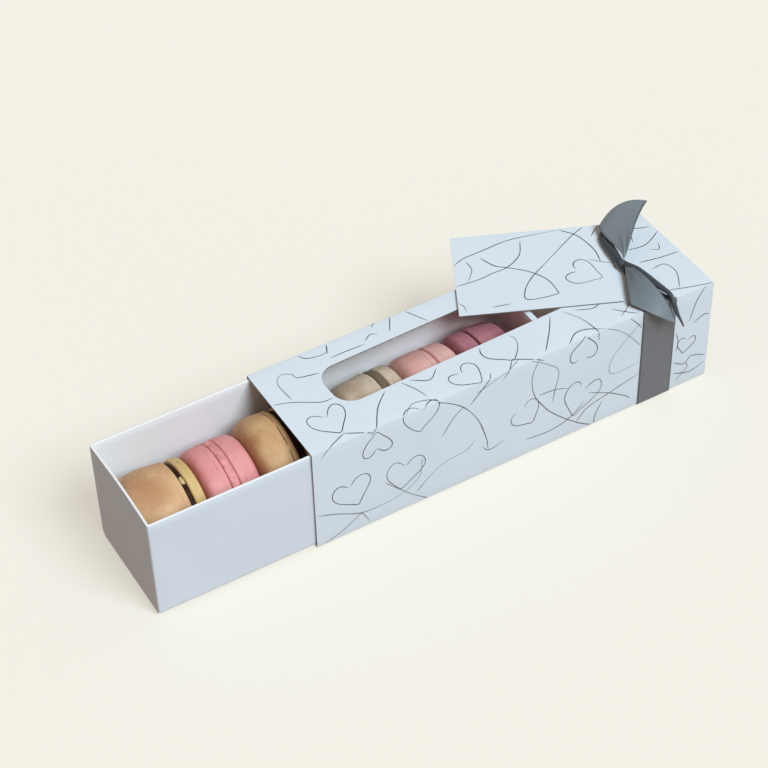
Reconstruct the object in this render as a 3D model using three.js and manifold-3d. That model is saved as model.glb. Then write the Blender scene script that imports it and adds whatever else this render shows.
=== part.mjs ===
// A gift box for round filled cookies: a printed card sleeve with an oblong window, a plain card
// tray pulled part of the way out of it, seven cookies standing on edge in the tray, a ribbon round
// the sleeve and a tag card of the same printed stock under the ribbon's knot.
// Millimetres, +Z up. The box is laid out from the near lower corner of the sleeve's mouth:
// +X runs down the sleeve, +Y goes to its far side. At the end the whole is moved so that the
// origin is the middle of its base.

import * as THREE from "three";
import { mergeVertices } from "three/addons/utils/BufferGeometryUtils.js";
import Module from "manifold-3d";

const wasm = await Module();
wasm.setup();

// Sleeve
const SLEEVE_LENGTH = 201.8;
const SLEEVE_WIDTH = 56;
const SLEEVE_HEIGHT = 54.9;
const SLEEVE_CARD = 0.5;
const SLEEVE_FOLD_RADIUS = 0.8;
const WINDOW_START = 25;
const WINDOW_END = 150;
const WINDOW_NEAR = 19.9;
const WINDOW_FAR = 44.1;
const WINDOW_CORNER = 9;
const WINDOW_TILT = THREE.MathUtils.degToRad(1.7);

// Tray
const TRAY_LENGTH = 198;
const TRAY_PULLED_OUT = 73.9;
const TRAY_CLEARANCE = 0.6;
const TRAY_FLOOR = 0.5;
const TRAY_SIDE_WALL = 1.0;
const TRAY_FRONT_WALL = 1.1;
const TRAY_INNER_WALL = 2.8;
const TRAY_FOLD_RADIUS = 0.6;

// Cookies: each is two baked shells with a filling between them, standing on edge. A radius is
// measured at the filling, and swell is what the shell gains on it away from the filling.
const COOKIE_GAP = 0.3;
const SEAM_GAP = 0.12;
const FOOT_HEIGHT = 3.0;
const SWELL_DEPTH = 8;
const SQUARENESS = 5;
const ROUND_STEPS = 32;
const CROWN_STEPS = 6;
const COOKIES = [
  {
    left: { radius: 21.8, thickness: 23.9, swell: 0.9, color: "#c8a078" },
    filling: { thickness: 2.2, inset: 0.8, color: "#38160a" },
    right: { radius: 21.4, thickness: 5.4, swell: 0, color: "#d0b06c" },
  },
  {
    left: { radius: 22.1, thickness: 10.7, swell: -0.1, color: "#e09498" },
    filling: { thickness: 3.9, inset: 0.2, color: "#d87c80" },
    right: { radius: 22.5, thickness: 10.3, swell: 0, color: "#ea9c9c" },
  },
  {
    left: { radius: 24.1, thickness: 16.1, swell: 0.1, color: "#b8865c" },
    filling: { thickness: 3.7, inset: 1.1, color: "#2c1008" },
    right: { radius: 23.8, thickness: 8.0, swell: 0, color: "#b8865c" },
  },
  {
    left: { radius: 22.6, thickness: 6.8, swell: 0, color: "#c8a078" },
    filling: { thickness: 2.6, inset: 0.9, color: "#38160a" },
    right: { radius: 22.4, thickness: 7.2, swell: 0, color: "#c8a078" },
  },
  {
    left: { radius: 23.0, thickness: 19.0, swell: -0.5, color: "#d2c2a2" },
    filling: { thickness: 3.7, inset: 0.3, color: "#7a6c5a" },
    right: { radius: 23.1, thickness: 7.6, swell: 0, color: "#d2c2a2" },
  },
  {
    left: { radius: 23.1, thickness: 16.2, swell: 0, color: "#dc9c96" },
    filling: { thickness: 0.8, inset: 0.6, color: "#c87c7c" },
    right: { radius: 23.1, thickness: 10.9, swell: 0, color: "#dc9c96" },
  },
  {
    left: { radius: 23.1, thickness: 8.8, swell: 0, color: "#a8646e" },
    filling: { thickness: 0.8, inset: 0.7, color: "#6c3440" },
    right: { radius: 23.3, thickness: 16.0, swell: 0, color: "#a8646e" },
  },
];

// Ribbon round the sleeve: one strip that leaves the knot, goes down the front, under the sleeve,
// up its back and over to the knot again. It is flat on the card and drawn together near the knot.
const BAND_START = 164.2;
const BAND_WIDTH = 17.4;
const RIBBON_THICKNESS = 0.35;
const BAND_GAP = 0.15;
const BAND_MIDDLE = BAND_START + BAND_WIDTH / 2;
const BAND_LIFT = BAND_GAP + RIBBON_THICKNESS / 2;
const BAND_CROSS_STEPS = 4;
const BAND_ARCH = 0.55;
const GATHERED_HALF_WIDTH = 2.4;
const FLAT_HALF_WIDTH = 8.2;
const BACK_BOTTOM = -SLEEVE_WIDTH;
const BACK_TOP = -SLEEVE_WIDTH - SLEEVE_HEIGHT;
// Rows of [distance round the sleeve, middle along X, half of the width, height above the card].
const BAND_COURSE = [
  [SLEEVE_HEIGHT + 27.8, 172.7, 1.9, 1.7],
  [SLEEVE_HEIGHT + 22, 173.2, 2.3, 1.45],
  [SLEEVE_HEIGHT + 14, 173.8, 2.8, 1.1],
  [SLEEVE_HEIGHT + 7, 174.0, 3.6, 0.75],
  [SLEEVE_HEIGHT + 3, 173.2, 5.4, 0.55],
  [SLEEVE_HEIGHT + 0.8, BAND_MIDDLE, BAND_WIDTH / 2, BAND_LIFT],
  [SLEEVE_HEIGHT - 4, BAND_MIDDLE, BAND_WIDTH / 2, BAND_LIFT],
  [0, BAND_MIDDLE, BAND_WIDTH / 2, BAND_LIFT],
  [BACK_BOTTOM, BAND_MIDDLE, BAND_WIDTH / 2, BAND_LIFT],
  [BACK_BOTTOM - 8, 173.6, 8.5, BAND_LIFT],
  [BACK_BOTTOM - 30, 178.4, 6.2, BAND_LIFT],
  [BACK_TOP + 2, 184.9, 3.4, BAND_LIFT],
  [BACK_TOP - 0.8, 184.9, 3.0, 1.0],
  [BACK_TOP - 3.2, 180.6, 2.8, 2.2],
  [BACK_TOP - 7, 177.0, 2.6, 2.6],
  [BACK_TOP - 12.8, 175.3, 2.5, 2.7],
  [BACK_TOP - 19.5, 173.9, 2.2, 2.8],
  [BACK_TOP - 26, 172.6, 1.7, 3.0],
];

// Tag card, swung round so that its free end reaches past the sleeve's far edge. Its free end is
// cut a little out of square.
const TAG_LENGTH = 72;
const TAG_WIDTH = 52.4;
const TAG_CARD = 0.5;
const TAG_SKEW = 3.2;
const TAG_SWING = THREE.MathUtils.degToRad(-23.9);
const TAG_FREE_CORNER = [94.9, 39.1];
const TAG_REST_HEIGHT = 0.4;
const TAG_FREE_LIFT = 0.2;
const TAG_STEPS = 8;

// Bow: a knot, and two ribbon ends cut on the slant, each gathered into a strand at the knot
const KNOT_CENTRE = [172.6, 28.9, 3.3];
const KNOT_RADII = [2.4, 2.3, 1.7];
const TAIL_THICKNESS = 0.5;
const TAIL_LONG_STEPS = 10;
const TAIL_CROSS_STEPS = 8;
const STRAND_STEPS = 12;
const STRAND_SIDES = 8;

// The control points of a ribbon end are [x, y, height above the sleeve's top]. Each row runs
// across the ribbon, and the rows go from the knot to the cut end.
const FAR_TAIL = [
  [[174.6, 30.6, 3.8], [174.9, 30.4, 4.0], [175.3, 30.3, 4.0]],
  [[177.9, 34.5, 5.0], [179.0, 35.6, 8.0], [180.6, 33.4, 8.0]],
  [[174.0, 50.5, 3.9], [184.2, 47.0, 12.8], [184.5, 38.0, 16.5]],
  [[178.7, 54.6, 4.2], [189.2, 57.0, 15.6], [194.6, 42.1, 20.0]],
];
const NEAR_TAIL = [
  [[172.8, 26.6, 3.2], [173.6, 26.4, 3.8], [174.2, 26.2, 3.8]],
  [[169.8, 21.6, 2.8], [173.0, 20.4, 5.6], [175.4, 19.6, 4.4]],
  [[164.6, 13.0, 2.4], [170.6, 7.0, 8.0], [174.6, -2.0, 9.5]],
  [[160.9, 6.2, 2.2], [167.5, -9.0, 2.0], [177.5, -5.8, -8.0]],
];
const NEAR_STRAND = {
  path: [
    [173.6, 27.6, 3.4],
    [175.4, 21.3, 3.5],
    [176.4, 14.4, 3.5],
    [177.3, 8.7, 3.4],
    [178.3, 4.4, 3.2],
    [178.9, 0.6, 2.6],
    [178.6, -3.0, -0.8],
    [179.4, -4.8, -5.2],
    [181.8, -6.1, -11.6],
  ],
  widths: [2.6, 3.8, 3.8, 3.2, 2.3, 1.9, 2.0, 1.7, 0.6],
};
const STRAND_FLATNESS = 0.55;

// Colours
const PRINTED_CARD = "#dde6ee";
const WHITE_CARD = "#d6dae2";
const RIBBON_GREY = "#78828a";

function material(color, roughness) {
  return new THREE.MeshStandardMaterial({ color, roughness, metalness: 0 });
}

function piece(name, geometry, color, roughness) {
  const mesh = new THREE.Mesh(geometry, material(color, roughness));
  mesh.name = name;
  return mesh;
}

// A geometry with its shared vertices joined and only its positions kept.
function welded(geometry) {
  const plain = geometry.clone();
  plain.deleteAttribute("normal");
  plain.deleteAttribute("uv");
  return mergeVertices(plain, 1e-4);
}

function toSolid(geometry) {
  const closed = welded(geometry);
  return new wasm.Manifold(
    new wasm.Mesh({
      numProp: 3,
      vertProperties: closed.attributes.position.array,
      triVerts: new Uint32Array(closed.index.array),
    }),
  );
}

function fromSolid(solid) {
  const mesh = solid.getMesh();
  const geometry = new THREE.BufferGeometry();
  geometry.setAttribute("position", new THREE.BufferAttribute(mesh.vertProperties, 3));
  geometry.setIndex(new THREE.BufferAttribute(mesh.triVerts, 1));
  geometry.computeVertexNormals();
  return geometry;
}

// A rectangle with rounded corners, as a Shape or as a Path for a hole.
function roundedRectangle(Outline, left, bottom, right, top, radius) {
  const outline = new Outline();
  outline.moveTo(left + radius, bottom);
  outline.lineTo(right - radius, bottom);
  outline.absarc(right - radius, bottom + radius, radius, -Math.PI / 2, 0);
  outline.lineTo(right, top - radius);
  outline.absarc(right - radius, top - radius, radius, 0, Math.PI / 2);
  outline.lineTo(left + radius, top);
  outline.absarc(left + radius, top - radius, radius, Math.PI / 2, Math.PI);
  outline.lineTo(left, bottom + radius);
  outline.absarc(left + radius, bottom + radius, radius, Math.PI, 1.5 * Math.PI);
  return outline;
}

// Extrudes a shape drawn in Y and Z along X.
function alongX(shape, start, length, curveSegments) {
  const geometry = new THREE.ExtrudeGeometry(shape, {
    depth: length,
    bevelEnabled: false,
    curveSegments,
  });
  const turn = new THREE.Matrix4().makeBasis(
    new THREE.Vector3(0, 1, 0),
    new THREE.Vector3(0, 0, 1),
    new THREE.Vector3(1, 0, 0),
  );
  geometry.applyMatrix4(turn);
  geometry.translate(start, 0, 0);
  return geometry;
}

// Extrudes a shape drawn in X and Y upwards.
function upwards(shape, bottom, height, curveSegments) {
  const geometry = new THREE.ExtrudeGeometry(shape, {
    depth: height,
    bevelEnabled: false,
    curveSegments,
  });
  geometry.translate(0, 0, bottom);
  return geometry;
}

// The sleeve is a folded tube of card, open at both ends, with the window cut in its top.
function sleeve() {
  const shape = roundedRectangle(THREE.Shape, 0, 0, SLEEVE_WIDTH, SLEEVE_HEIGHT, SLEEVE_FOLD_RADIUS);
  shape.holes.push(
    roundedRectangle(
      THREE.Path,
      SLEEVE_CARD,
      SLEEVE_CARD,
      SLEEVE_WIDTH - SLEEVE_CARD,
      SLEEVE_HEIGHT - SLEEVE_CARD,
      SLEEVE_FOLD_RADIUS - SLEEVE_CARD,
    ),
  );
  const tube = toSolid(alongX(shape, 0, SLEEVE_LENGTH, 3));
  const opening = roundedRectangle(
    THREE.Shape, WINDOW_START, WINDOW_NEAR, WINDOW_END, WINDOW_FAR, WINDOW_CORNER,
  );
  const cutter = upwards(opening, SLEEVE_HEIGHT - 2 * SLEEVE_CARD, 3 * SLEEVE_CARD, 8);
  const middle = [(WINDOW_START + WINDOW_END) / 2, (WINDOW_NEAR + WINDOW_FAR) / 2];
  cutter.translate(-middle[0], -middle[1], 0).rotateZ(WINDOW_TILT).translate(...middle, 0);
  return piece("sleeve", fromSolid(tube.subtract(toSolid(cutter))), PRINTED_CARD, 0.45);
}

const TRAY_INSET = SLEEVE_CARD + TRAY_CLEARANCE;
const TRAY_FLOOR_TOP = TRAY_INSET + TRAY_FLOOR;
const TRAY_CAVITY_START = -TRAY_PULLED_OUT + TRAY_FRONT_WALL;

// The tray is an open box whose side and end walls are card folded double. The wall at the inner
// end is rolled over and stands a little thicker.
function tray() {
  const near = TRAY_INSET;
  const far = SLEEVE_WIDTH - TRAY_INSET;
  const bottom = TRAY_INSET;
  const height = SLEEVE_HEIGHT - 2 * TRAY_INSET;
  const outside = roundedRectangle(
    THREE.Shape, -TRAY_PULLED_OUT, near, TRAY_LENGTH - TRAY_PULLED_OUT, far, TRAY_FOLD_RADIUS,
  );
  const inside = roundedRectangle(
    THREE.Shape,
    TRAY_CAVITY_START,
    near + TRAY_SIDE_WALL,
    TRAY_LENGTH - TRAY_PULLED_OUT - TRAY_INNER_WALL,
    far - TRAY_SIDE_WALL,
    TRAY_FOLD_RADIUS / 2,
  );
  const block = toSolid(upwards(outside, bottom, height, 3));
  const cavity = toSolid(upwards(inside, TRAY_FLOOR_TOP, height, 3));
  return piece("tray", fromSolid(block.subtract(cavity)), WHITE_CARD, 0.55);
}

// A repeatable number from 0 to 1 for a cookie and a purpose.
function draw(cookie, purpose) {
  const mixed = Math.sin(cookie * 12.9898 + purpose * 78.233) * 43758.5453;
  return mixed - Math.floor(mixed);
}

// Cookies are piped by hand, so their outline is a little out of round.
function roundness(angle, cookie) {
  const turn = 2 * Math.PI;
  return (
    1 +
    0.01 * Math.cos(2 * angle + turn * draw(cookie, 1)) +
    0.006 * Math.cos(3 * angle + turn * draw(cookie, 2)) +
    0.004 * Math.cos(5 * angle + turn * draw(cookie, 3))
  );
}

// Revolves a profile of [distance from the axis, distance along it] round the X axis, with the
// cookie's uneven outline.
function turned(profile, cookie) {
  const points = profile.map(([radius, along]) => new THREE.Vector2(radius, along));
  const geometry = welded(new THREE.LatheGeometry(points, ROUND_STEPS));
  geometry.rotateZ(-Math.PI / 2);
  const position = geometry.attributes.position;
  for (let i = 0; i < position.count; i++) {
    const y = position.getY(i);
    const z = position.getZ(i);
    const scale = roundness(Math.atan2(z, y), cookie);
    position.setXYZ(i, position.getX(i), y * scale, z * scale);
  }
  geometry.computeVertexNormals();
  return geometry;
}

// A shell has a flat inner face, a low foot round its edge and a full, nearly square crown.
function shellProfile({ radius, thickness, swell }) {
  const grown = (depth) => radius + swell * THREE.MathUtils.smoothstep(depth, 0, SWELL_DEPTH);
  const profile = [
    [0, 0],
    [radius - 0.8, 0],
    [radius - 0.1, 0.5],
    [grown(FOOT_HEIGHT / 2), FOOT_HEIGHT / 2],
    [grown(FOOT_HEIGHT), FOOT_HEIGHT],
  ];
  const crown = thickness - FOOT_HEIGHT;
  for (let i = 1; i <= CROWN_STEPS; i++) {
    const angle = (Math.PI / 2) * (i / CROWN_STEPS);
    const depth = FOOT_HEIGHT + crown * Math.sin(angle) ** (2 / SQUARENESS);
    const out = i === CROWN_STEPS ? 0 : Math.cos(angle) ** (2 / SQUARENESS);
    profile.push([grown(depth) * out, depth]);
  }
  return profile;
}

function fillingProfile(radius, thickness) {
  const rounding = Math.min(0.4, thickness / 4);
  return [
    [0, 0],
    [radius - rounding, 0],
    [radius, thickness / 2],
    [radius - rounding, thickness],
    [0, thickness],
  ];
}

// Three meshes along X: left shell, filling, right shell.
function cookie(number, { left, filling, right }) {
  const group = new THREE.Group();
  const name = "cookie_" + number;
  const leftShape = turned(shellProfile(left), number);
  leftShape.scale(-1, 1, 1);
  const leftIndex = leftShape.index.array;
  for (let i = 0; i < leftIndex.length; i += 3) {
    [leftIndex[i + 1], leftIndex[i + 2]] = [leftIndex[i + 2], leftIndex[i + 1]];
  }
  leftShape.computeVertexNormals();
  const leftShell = piece(name + "_left_shell", leftShape, left.color, 0.7);
  leftShell.position.x = left.thickness;
  const fillingRadius = Math.min(left.radius, right.radius) - filling.inset;
  const fillingShape = turned(fillingProfile(fillingRadius, filling.thickness - 2 * SEAM_GAP), number);
  const cream = piece(name + "_filling", fillingShape, filling.color, 0.6);
  cream.position.x = left.thickness + SEAM_GAP;
  const rightShell = piece(name + "_right_shell", turned(shellProfile(right), number), right.color, 0.7);
  rightShell.position.x = left.thickness + filling.thickness;
  group.add(leftShell, cream, rightShell);
  return group;
}

// The cookies stand in a row on the tray's floor, from the pulled-out end inwards.
function cookieRow() {
  const row = new THREE.Group();
  let start = TRAY_CAVITY_START + COOKIE_GAP;
  COOKIES.forEach((spec, index) => {
    const one = cookie(index + 1, spec);
    const lowest = new THREE.Box3().setFromObject(one, true).min.z;
    one.position.set(start, SLEEVE_WIDTH / 2, TRAY_FLOOR_TOP + SEAM_GAP - lowest);
    row.add(one);
    start += spec.left.thickness + spec.filling.thickness + spec.right.thickness + COOKIE_GAP;
  });
  return row;
}

// A point on the sleeve's skin. around is measured from the near lower fold, up the front, over the
// top, down the back and under, and lift stands off the card.
function skin(x, around, lift) {
  const half = SLEEVE_WIDTH + SLEEVE_HEIGHT;
  const t = THREE.MathUtils.euclideanModulo(around, 2 * half);
  let [y, z] = [2 * half - t, 0];
  if (t < SLEEVE_HEIGHT) [y, z] = [0, t];
  else if (t < half) [y, z] = [t - SLEEVE_HEIGHT, SLEEVE_HEIGHT];
  else if (t < half + SLEEVE_HEIGHT) [y, z] = [SLEEVE_WIDTH, half + SLEEVE_HEIGHT - t];
  const centre = new THREE.Vector2(
    THREE.MathUtils.clamp(y, SLEEVE_FOLD_RADIUS, SLEEVE_WIDTH - SLEEVE_FOLD_RADIUS),
    THREE.MathUtils.clamp(z, SLEEVE_FOLD_RADIUS, SLEEVE_HEIGHT - SLEEVE_FOLD_RADIUS),
  );
  const out = new THREE.Vector2(y, z).sub(centre).normalize();
  const point = centre.addScaledVector(out, SLEEVE_FOLD_RADIUS + lift);
  return new THREE.Vector3(x, point.x, point.y);
}

// The band's middle, half width and height at a distance round the sleeve.
function bandAt(around) {
  const after = Math.max(BAND_COURSE.findIndex((row) => row[0] <= around), 1);
  const [before, next] = [BAND_COURSE[after - 1], BAND_COURSE[after]];
  const share = (before[0] - around) / (before[0] - next[0]);
  return [1, 2, 3].map((k) => THREE.MathUtils.lerp(before[k], next[k], share));
}

// Distances round the sleeve at which the band is drawn: its course and the rounding of each fold.
function bandStations() {
  const stations = BAND_COURSE.map((row) => row[0]);
  for (const fold of [SLEEVE_HEIGHT, 0, BACK_BOTTOM, BACK_TOP]) {
    for (const share of [-1, -0.4, 0, 0.4, 1]) stations.push(fold + share * SLEEVE_FOLD_RADIUS);
  }
  stations.sort((a, b) => b - a);
  return stations.filter((value, i) => i === 0 || stations[i - 1] - value > 0.05);
}

// A closed thin solid on a surface that is given as a function of two numbers from 0 to 1.
function sheetSolid(surface, longSteps, crossSteps, thickness) {
  const step = 1e-3;
  const positions = [];
  const rows = longSteps + 1;
  const columns = crossSteps + 1;
  for (const side of [1, -1]) {
    for (let i = 0; i < rows; i++) {
      for (let j = 0; j < columns; j++) {
        const u = i / longSteps;
        const v = j / crossSteps;
        const here = surface(u, v);
        const ahead = surface(Math.min(u + step, 1), v).sub(surface(Math.max(u - step, 0), v));
        const across = surface(u, Math.min(v + step, 1)).sub(surface(u, Math.max(v - step, 0)));
        const normal = across.cross(ahead).normalize();
        here.addScaledVector(normal, (side * thickness) / 2);
        positions.push(here.x, here.y, here.z);
      }
    }
  }
  const index = [];
  const count = rows * columns;
  const at = (i, j) => i * columns + j;
  for (let i = 0; i < longSteps; i++) {
    for (let j = 0; j < crossSteps; j++) {
      const [a, b, c, d] = [at(i, j), at(i, j + 1), at(i + 1, j + 1), at(i + 1, j)];
      index.push(a, b, c, a, c, d);
      index.push(count + a, count + c, count + b, count + a, count + d, count + c);
    }
  }
  const rim = [];
  for (let j = 0; j < crossSteps; j++) rim.push(at(0, j));
  for (let i = 0; i < longSteps; i++) rim.push(at(i, crossSteps));
  for (let j = crossSteps; j > 0; j--) rim.push(at(longSteps, j));
  for (let i = longSteps; i > 0; i--) rim.push(at(i, 0));
  rim.forEach((from, k) => {
    const to = rim[(k + 1) % rim.length];
    index.push(from, count + to, to, from, count + from, count + to);
  });
  const geometry = new THREE.BufferGeometry();
  geometry.setAttribute("position", new THREE.Float32BufferAttribute(positions, 3));
  geometry.setIndex(index);
  geometry.computeVertexNormals();
  return geometry;
}

// The strip of ribbon round the sleeve, clear of the knot. It arches where it is drawn together.
function ribbonBand(knotSpace) {
  const stations = bandStations();
  const steps = stations.length - 1;
  const surface = (u, v) => {
    const slot = Math.min(Math.floor(u * steps), steps - 1);
    const around = THREE.MathUtils.lerp(stations[slot], stations[slot + 1], u * steps - slot);
    const [middle, half, lift] = bandAt(around);
    const side = 2 * v - 1;
    const gather = 1 - THREE.MathUtils.smoothstep(half, GATHERED_HALF_WIDTH, FLAT_HALF_WIDTH);
    const arch = BAND_ARCH * gather * (1 - side ** 2);
    return skin(middle + side * half, around, lift + arch);
  };
  const strip = toSolid(sheetSolid(surface, steps, BAND_CROSS_STEPS, RIBBON_THICKNESS));
  return ribbonPiece("ribbon_band", strip.subtract(knotSpace));
}

// The tag is a flat card whose free end stands slightly up.
function tagCard() {
  const surface = (u, v) => {
    const along = THREE.MathUtils.lerp(TAG_SKEW * v, TAG_LENGTH, u);
    return new THREE.Vector3(along, v * TAG_WIDTH, TAG_FREE_LIFT * (1 - u) ** 2);
  };
  const geometry = sheetSolid(surface, TAG_STEPS, 1, TAG_CARD);
  const tag = piece("tag_card", geometry, PRINTED_CARD, 0.45);
  tag.rotation.z = TAG_SWING;
  const height = SLEEVE_HEIGHT + TAG_REST_HEIGHT + TAG_CARD / 2;
  tag.position.set(TAG_FREE_CORNER[0], TAG_FREE_CORNER[1], height);
  return tag;
}

function aboveSleeve([x, y, lift]) {
  return new THREE.Vector3(x, y, SLEEVE_HEIGHT + lift);
}

// A surface that is cubic along the ribbon and quadratic across it.
function ribbonSurface(rows) {
  const points = rows.map((row) => row.map(aboveSleeve));
  return (u, v) => {
    const across = points.map((row) => new THREE.QuadraticBezierCurve3(...row).getPoint(v));
    return new THREE.CubicBezierCurve3(...across).getPoint(u);
  };
}

// The gathered strand of a ribbon: a flattened tube whose width changes along its path.
function strandSolid({ path, widths }) {
  const curve = new THREE.CatmullRomCurve3(path.map(aboveSleeve));
  const geometry = new THREE.BufferGeometry();
  const positions = [];
  const up = new THREE.Vector3(0, 0, 1);
  for (let i = 0; i <= STRAND_STEPS; i++) {
    const t = i / STRAND_STEPS;
    const centre = curve.getPoint(t);
    const tangent = curve.getTangent(t);
    const side = tangent.clone().cross(up).normalize();
    const normal = side.clone().cross(tangent);
    const slot = Math.min(Math.floor(t * (widths.length - 1)), widths.length - 2);
    const share = t * (widths.length - 1) - slot;
    const half = THREE.MathUtils.lerp(widths[slot], widths[slot + 1], share) / 2;
    for (let k = 0; k < STRAND_SIDES; k++) {
      const angle = (2 * Math.PI * k) / STRAND_SIDES;
      const point = centre
        .clone()
        .addScaledVector(side, half * Math.cos(angle))
        .addScaledVector(normal, half * STRAND_FLATNESS * Math.sin(angle));
      positions.push(point.x, point.y, point.z);
    }
  }
  const first = curve.getPoint(0);
  const last = curve.getPoint(1);
  positions.push(first.x, first.y, first.z, last.x, last.y, last.z);
  const index = [];
  const startCentre = (STRAND_STEPS + 1) * STRAND_SIDES;
  for (let k = 0; k < STRAND_SIDES; k++) {
    const next = (k + 1) % STRAND_SIDES;
    for (let i = 0; i < STRAND_STEPS; i++) {
      const low = i * STRAND_SIDES;
      const high = low + STRAND_SIDES;
      index.push(low + k, high + next, low + next, low + k, high + k, high + next);
    }
    const end = STRAND_STEPS * STRAND_SIDES;
    index.push(startCentre, k, next, startCentre + 1, end + next, end + k);
  }
  geometry.setAttribute("position", new THREE.Float32BufferAttribute(positions, 3));
  geometry.setIndex(index);
  return geometry;
}

// The broad cut face of a ribbon end.
function tailFace(rows) {
  return toSolid(
    sheetSolid(ribbonSurface(rows), TAIL_LONG_STEPS, TAIL_CROSS_STEPS, TAIL_THICKNESS),
  );
}

function ribbonPiece(name, solid) {
  return piece(name, fromSolid(solid), RIBBON_GREY, 0.4);
}

function ellipsoid(extra) {
  const geometry = new THREE.SphereGeometry(1, 16, 10);
  geometry.scale(KNOT_RADII[0] + extra, KNOT_RADII[1] + extra, KNOT_RADII[2] + extra);
  const centre = aboveSleeve(KNOT_CENTRE);
  geometry.translate(centre.x, centre.y, centre.z);
  return geometry;
}

// The knot with the band and the two ribbon ends that it holds. The near end has a gathered strand.
function ribbon() {
  const group = new THREE.Group();
  const knotSpace = toSolid(ellipsoid(BAND_GAP));
  const nearTail = tailFace(NEAR_TAIL).add(toSolid(strandSolid(NEAR_STRAND)));
  group.add(
    ribbonBand(knotSpace),
    piece("ribbon_knot", ellipsoid(0), RIBBON_GREY, 0.4),
    ribbonPiece("ribbon_tail_far", tailFace(FAR_TAIL).subtract(knotSpace)),
    ribbonPiece("ribbon_tail_near", nearTail.subtract(knotSpace)),
  );
  return group;
}

const box = new THREE.Group();
box.add(sleeve(), tray(), cookieRow(), ribbon(), tagCard());

const extent = new THREE.Box3().setFromObject(box, true);
const middle = extent.getCenter(new THREE.Vector3());
box.position.set(-middle.x, -middle.y, -extent.min.z);

export default box;
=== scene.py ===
"""A printed sleeve box of filled cookies: a card sleeve with a window, a card tray pulled part of the
way out, seven cookies standing on edge, a knotted ribbon with two cut ends, and a tag card under the knot.

Lengths are written in millimetres from the near lower corner of the sleeve's mouth: x runs down the
sleeve, y goes to its far side, z is up. place() turns them into the frame's metres.
"""

import itertools
import math

import bpy
from mathutils import Matrix, Vector, noise


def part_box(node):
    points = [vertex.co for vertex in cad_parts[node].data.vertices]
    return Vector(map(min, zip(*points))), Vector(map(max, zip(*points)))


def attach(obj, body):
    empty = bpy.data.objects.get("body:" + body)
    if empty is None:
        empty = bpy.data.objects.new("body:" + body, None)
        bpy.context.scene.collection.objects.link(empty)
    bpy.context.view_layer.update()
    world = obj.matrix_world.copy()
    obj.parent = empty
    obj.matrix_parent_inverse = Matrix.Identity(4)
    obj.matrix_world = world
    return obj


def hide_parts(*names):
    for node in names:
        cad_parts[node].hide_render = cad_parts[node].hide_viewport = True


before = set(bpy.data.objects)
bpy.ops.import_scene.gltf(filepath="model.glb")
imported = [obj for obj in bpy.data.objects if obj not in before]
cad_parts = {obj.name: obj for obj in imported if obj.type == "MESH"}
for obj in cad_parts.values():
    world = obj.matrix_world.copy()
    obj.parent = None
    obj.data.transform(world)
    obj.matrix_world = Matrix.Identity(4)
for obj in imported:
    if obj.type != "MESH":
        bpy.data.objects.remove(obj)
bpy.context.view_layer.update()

MM = 0.001
SLEEVE_BODY = "sleeve_body"
TRAY_BODY = "tray_body"

# Sizes shared by several pieces, read off the frame where it holds them
CORNER, SLEEVE_FAR_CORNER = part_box("sleeve")
CORNER = Vector(CORNER)
LENGTH, WIDTH, HEIGHT = (Vector(SLEEVE_FAR_CORNER) - CORNER) / MM
CARD = 0.5
FOLD = 0.35
WINDOW = {"start": 25.0, "end": 150, "near": 19.9, "far": 44.1, "corner": 9, "tilt": math.radians(1.7)}
BAND_START = 164.2
BAND_WIDTH = 17.4
# Edges sharper than this are shaded as edges, in degrees: on card, on bent pieces and on soft ones
CARD_EDGE = 35
BENT_EDGE = 50
SOFT_EDGE = 60


def place(x, y, z):
    return CORNER + Vector((x, y, z)) * MM


def lerp(a, b, share):
    return a + (b - a) * share


def smooth(low, high, value):
    share = min(max((value - low) / (high - low), 0), 1)
    return share * share * (3 - 2 * share)


def swung(x, y, angle):
    """The point turned about the origin."""
    return x * math.cos(angle) - y * math.sin(angle), x * math.sin(angle) + y * math.cos(angle)


def new_object(name, vertices, faces, materials, sharp_angle=CARD_EDGE):
    mesh = bpy.data.meshes.new(name)
    mesh.from_pydata([tuple(v) for v in vertices], [], faces)
    mesh.validate()
    for item in materials:
        mesh.materials.append(item)
    obj = bpy.data.objects.new(name, mesh)
    bpy.context.scene.collection.objects.link(obj)
    mesh.shade_smooth()
    mesh.set_sharp_from_angle(angle=math.radians(sharp_angle))
    return obj


def paint(obj, *counts):
    """Gives the first of these counts of faces the object's first material, the next its second, and
    so on."""
    slots = [slot for slot, count in enumerate(counts) for _ in range(count)]
    obj.data.polygons.foreach_set("material_index", slots)


def mark(obj, name, values):
    """Gives each point of a piece a number that its material reads."""
    attribute = obj.data.attributes.new(name, "FLOAT", "POINT")
    attribute.data.foreach_set("value", values)


def ring_faces(rings, count, first=0, flip=False):
    """Faces that join each ring of count points to the next, or the same turned over. first is the
    first ring's first point."""
    faces = []
    for start in range(first, first + (rings - 1) * count, count):
        for i in range(count):
            j = (i + 1) % count
            a, b, c, d = start + i, start + j, start + count + j, start + count + i
            faces.append((a, d, c, b) if flip else (a, b, c, d))
    return faces


def ball(rows, columns, to_point):
    """A closed lump, as vertices and faces. to_point(direction) gives the point of its skin there."""
    directions = []
    for i in range(1, rows):
        polar = math.pi * i / rows
        out = math.sin(polar)
        for j in range(columns):
            angle = 2 * math.pi * j / columns
            directions.append(Vector((out * math.cos(angle), out * math.sin(angle), math.cos(polar))))
    top, bottom = len(directions), len(directions) + 1
    directions += [Vector((0, 0, 1)), Vector((0, 0, -1))]
    faces = ring_faces(rows - 1, columns, flip=True)
    last = (rows - 2) * columns
    for j in range(columns):
        k = (j + 1) % columns
        faces += [(top, j, k), (last + j, bottom, last + k)]
    return [to_point(direction) for direction in directions], faces


# Materials


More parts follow.
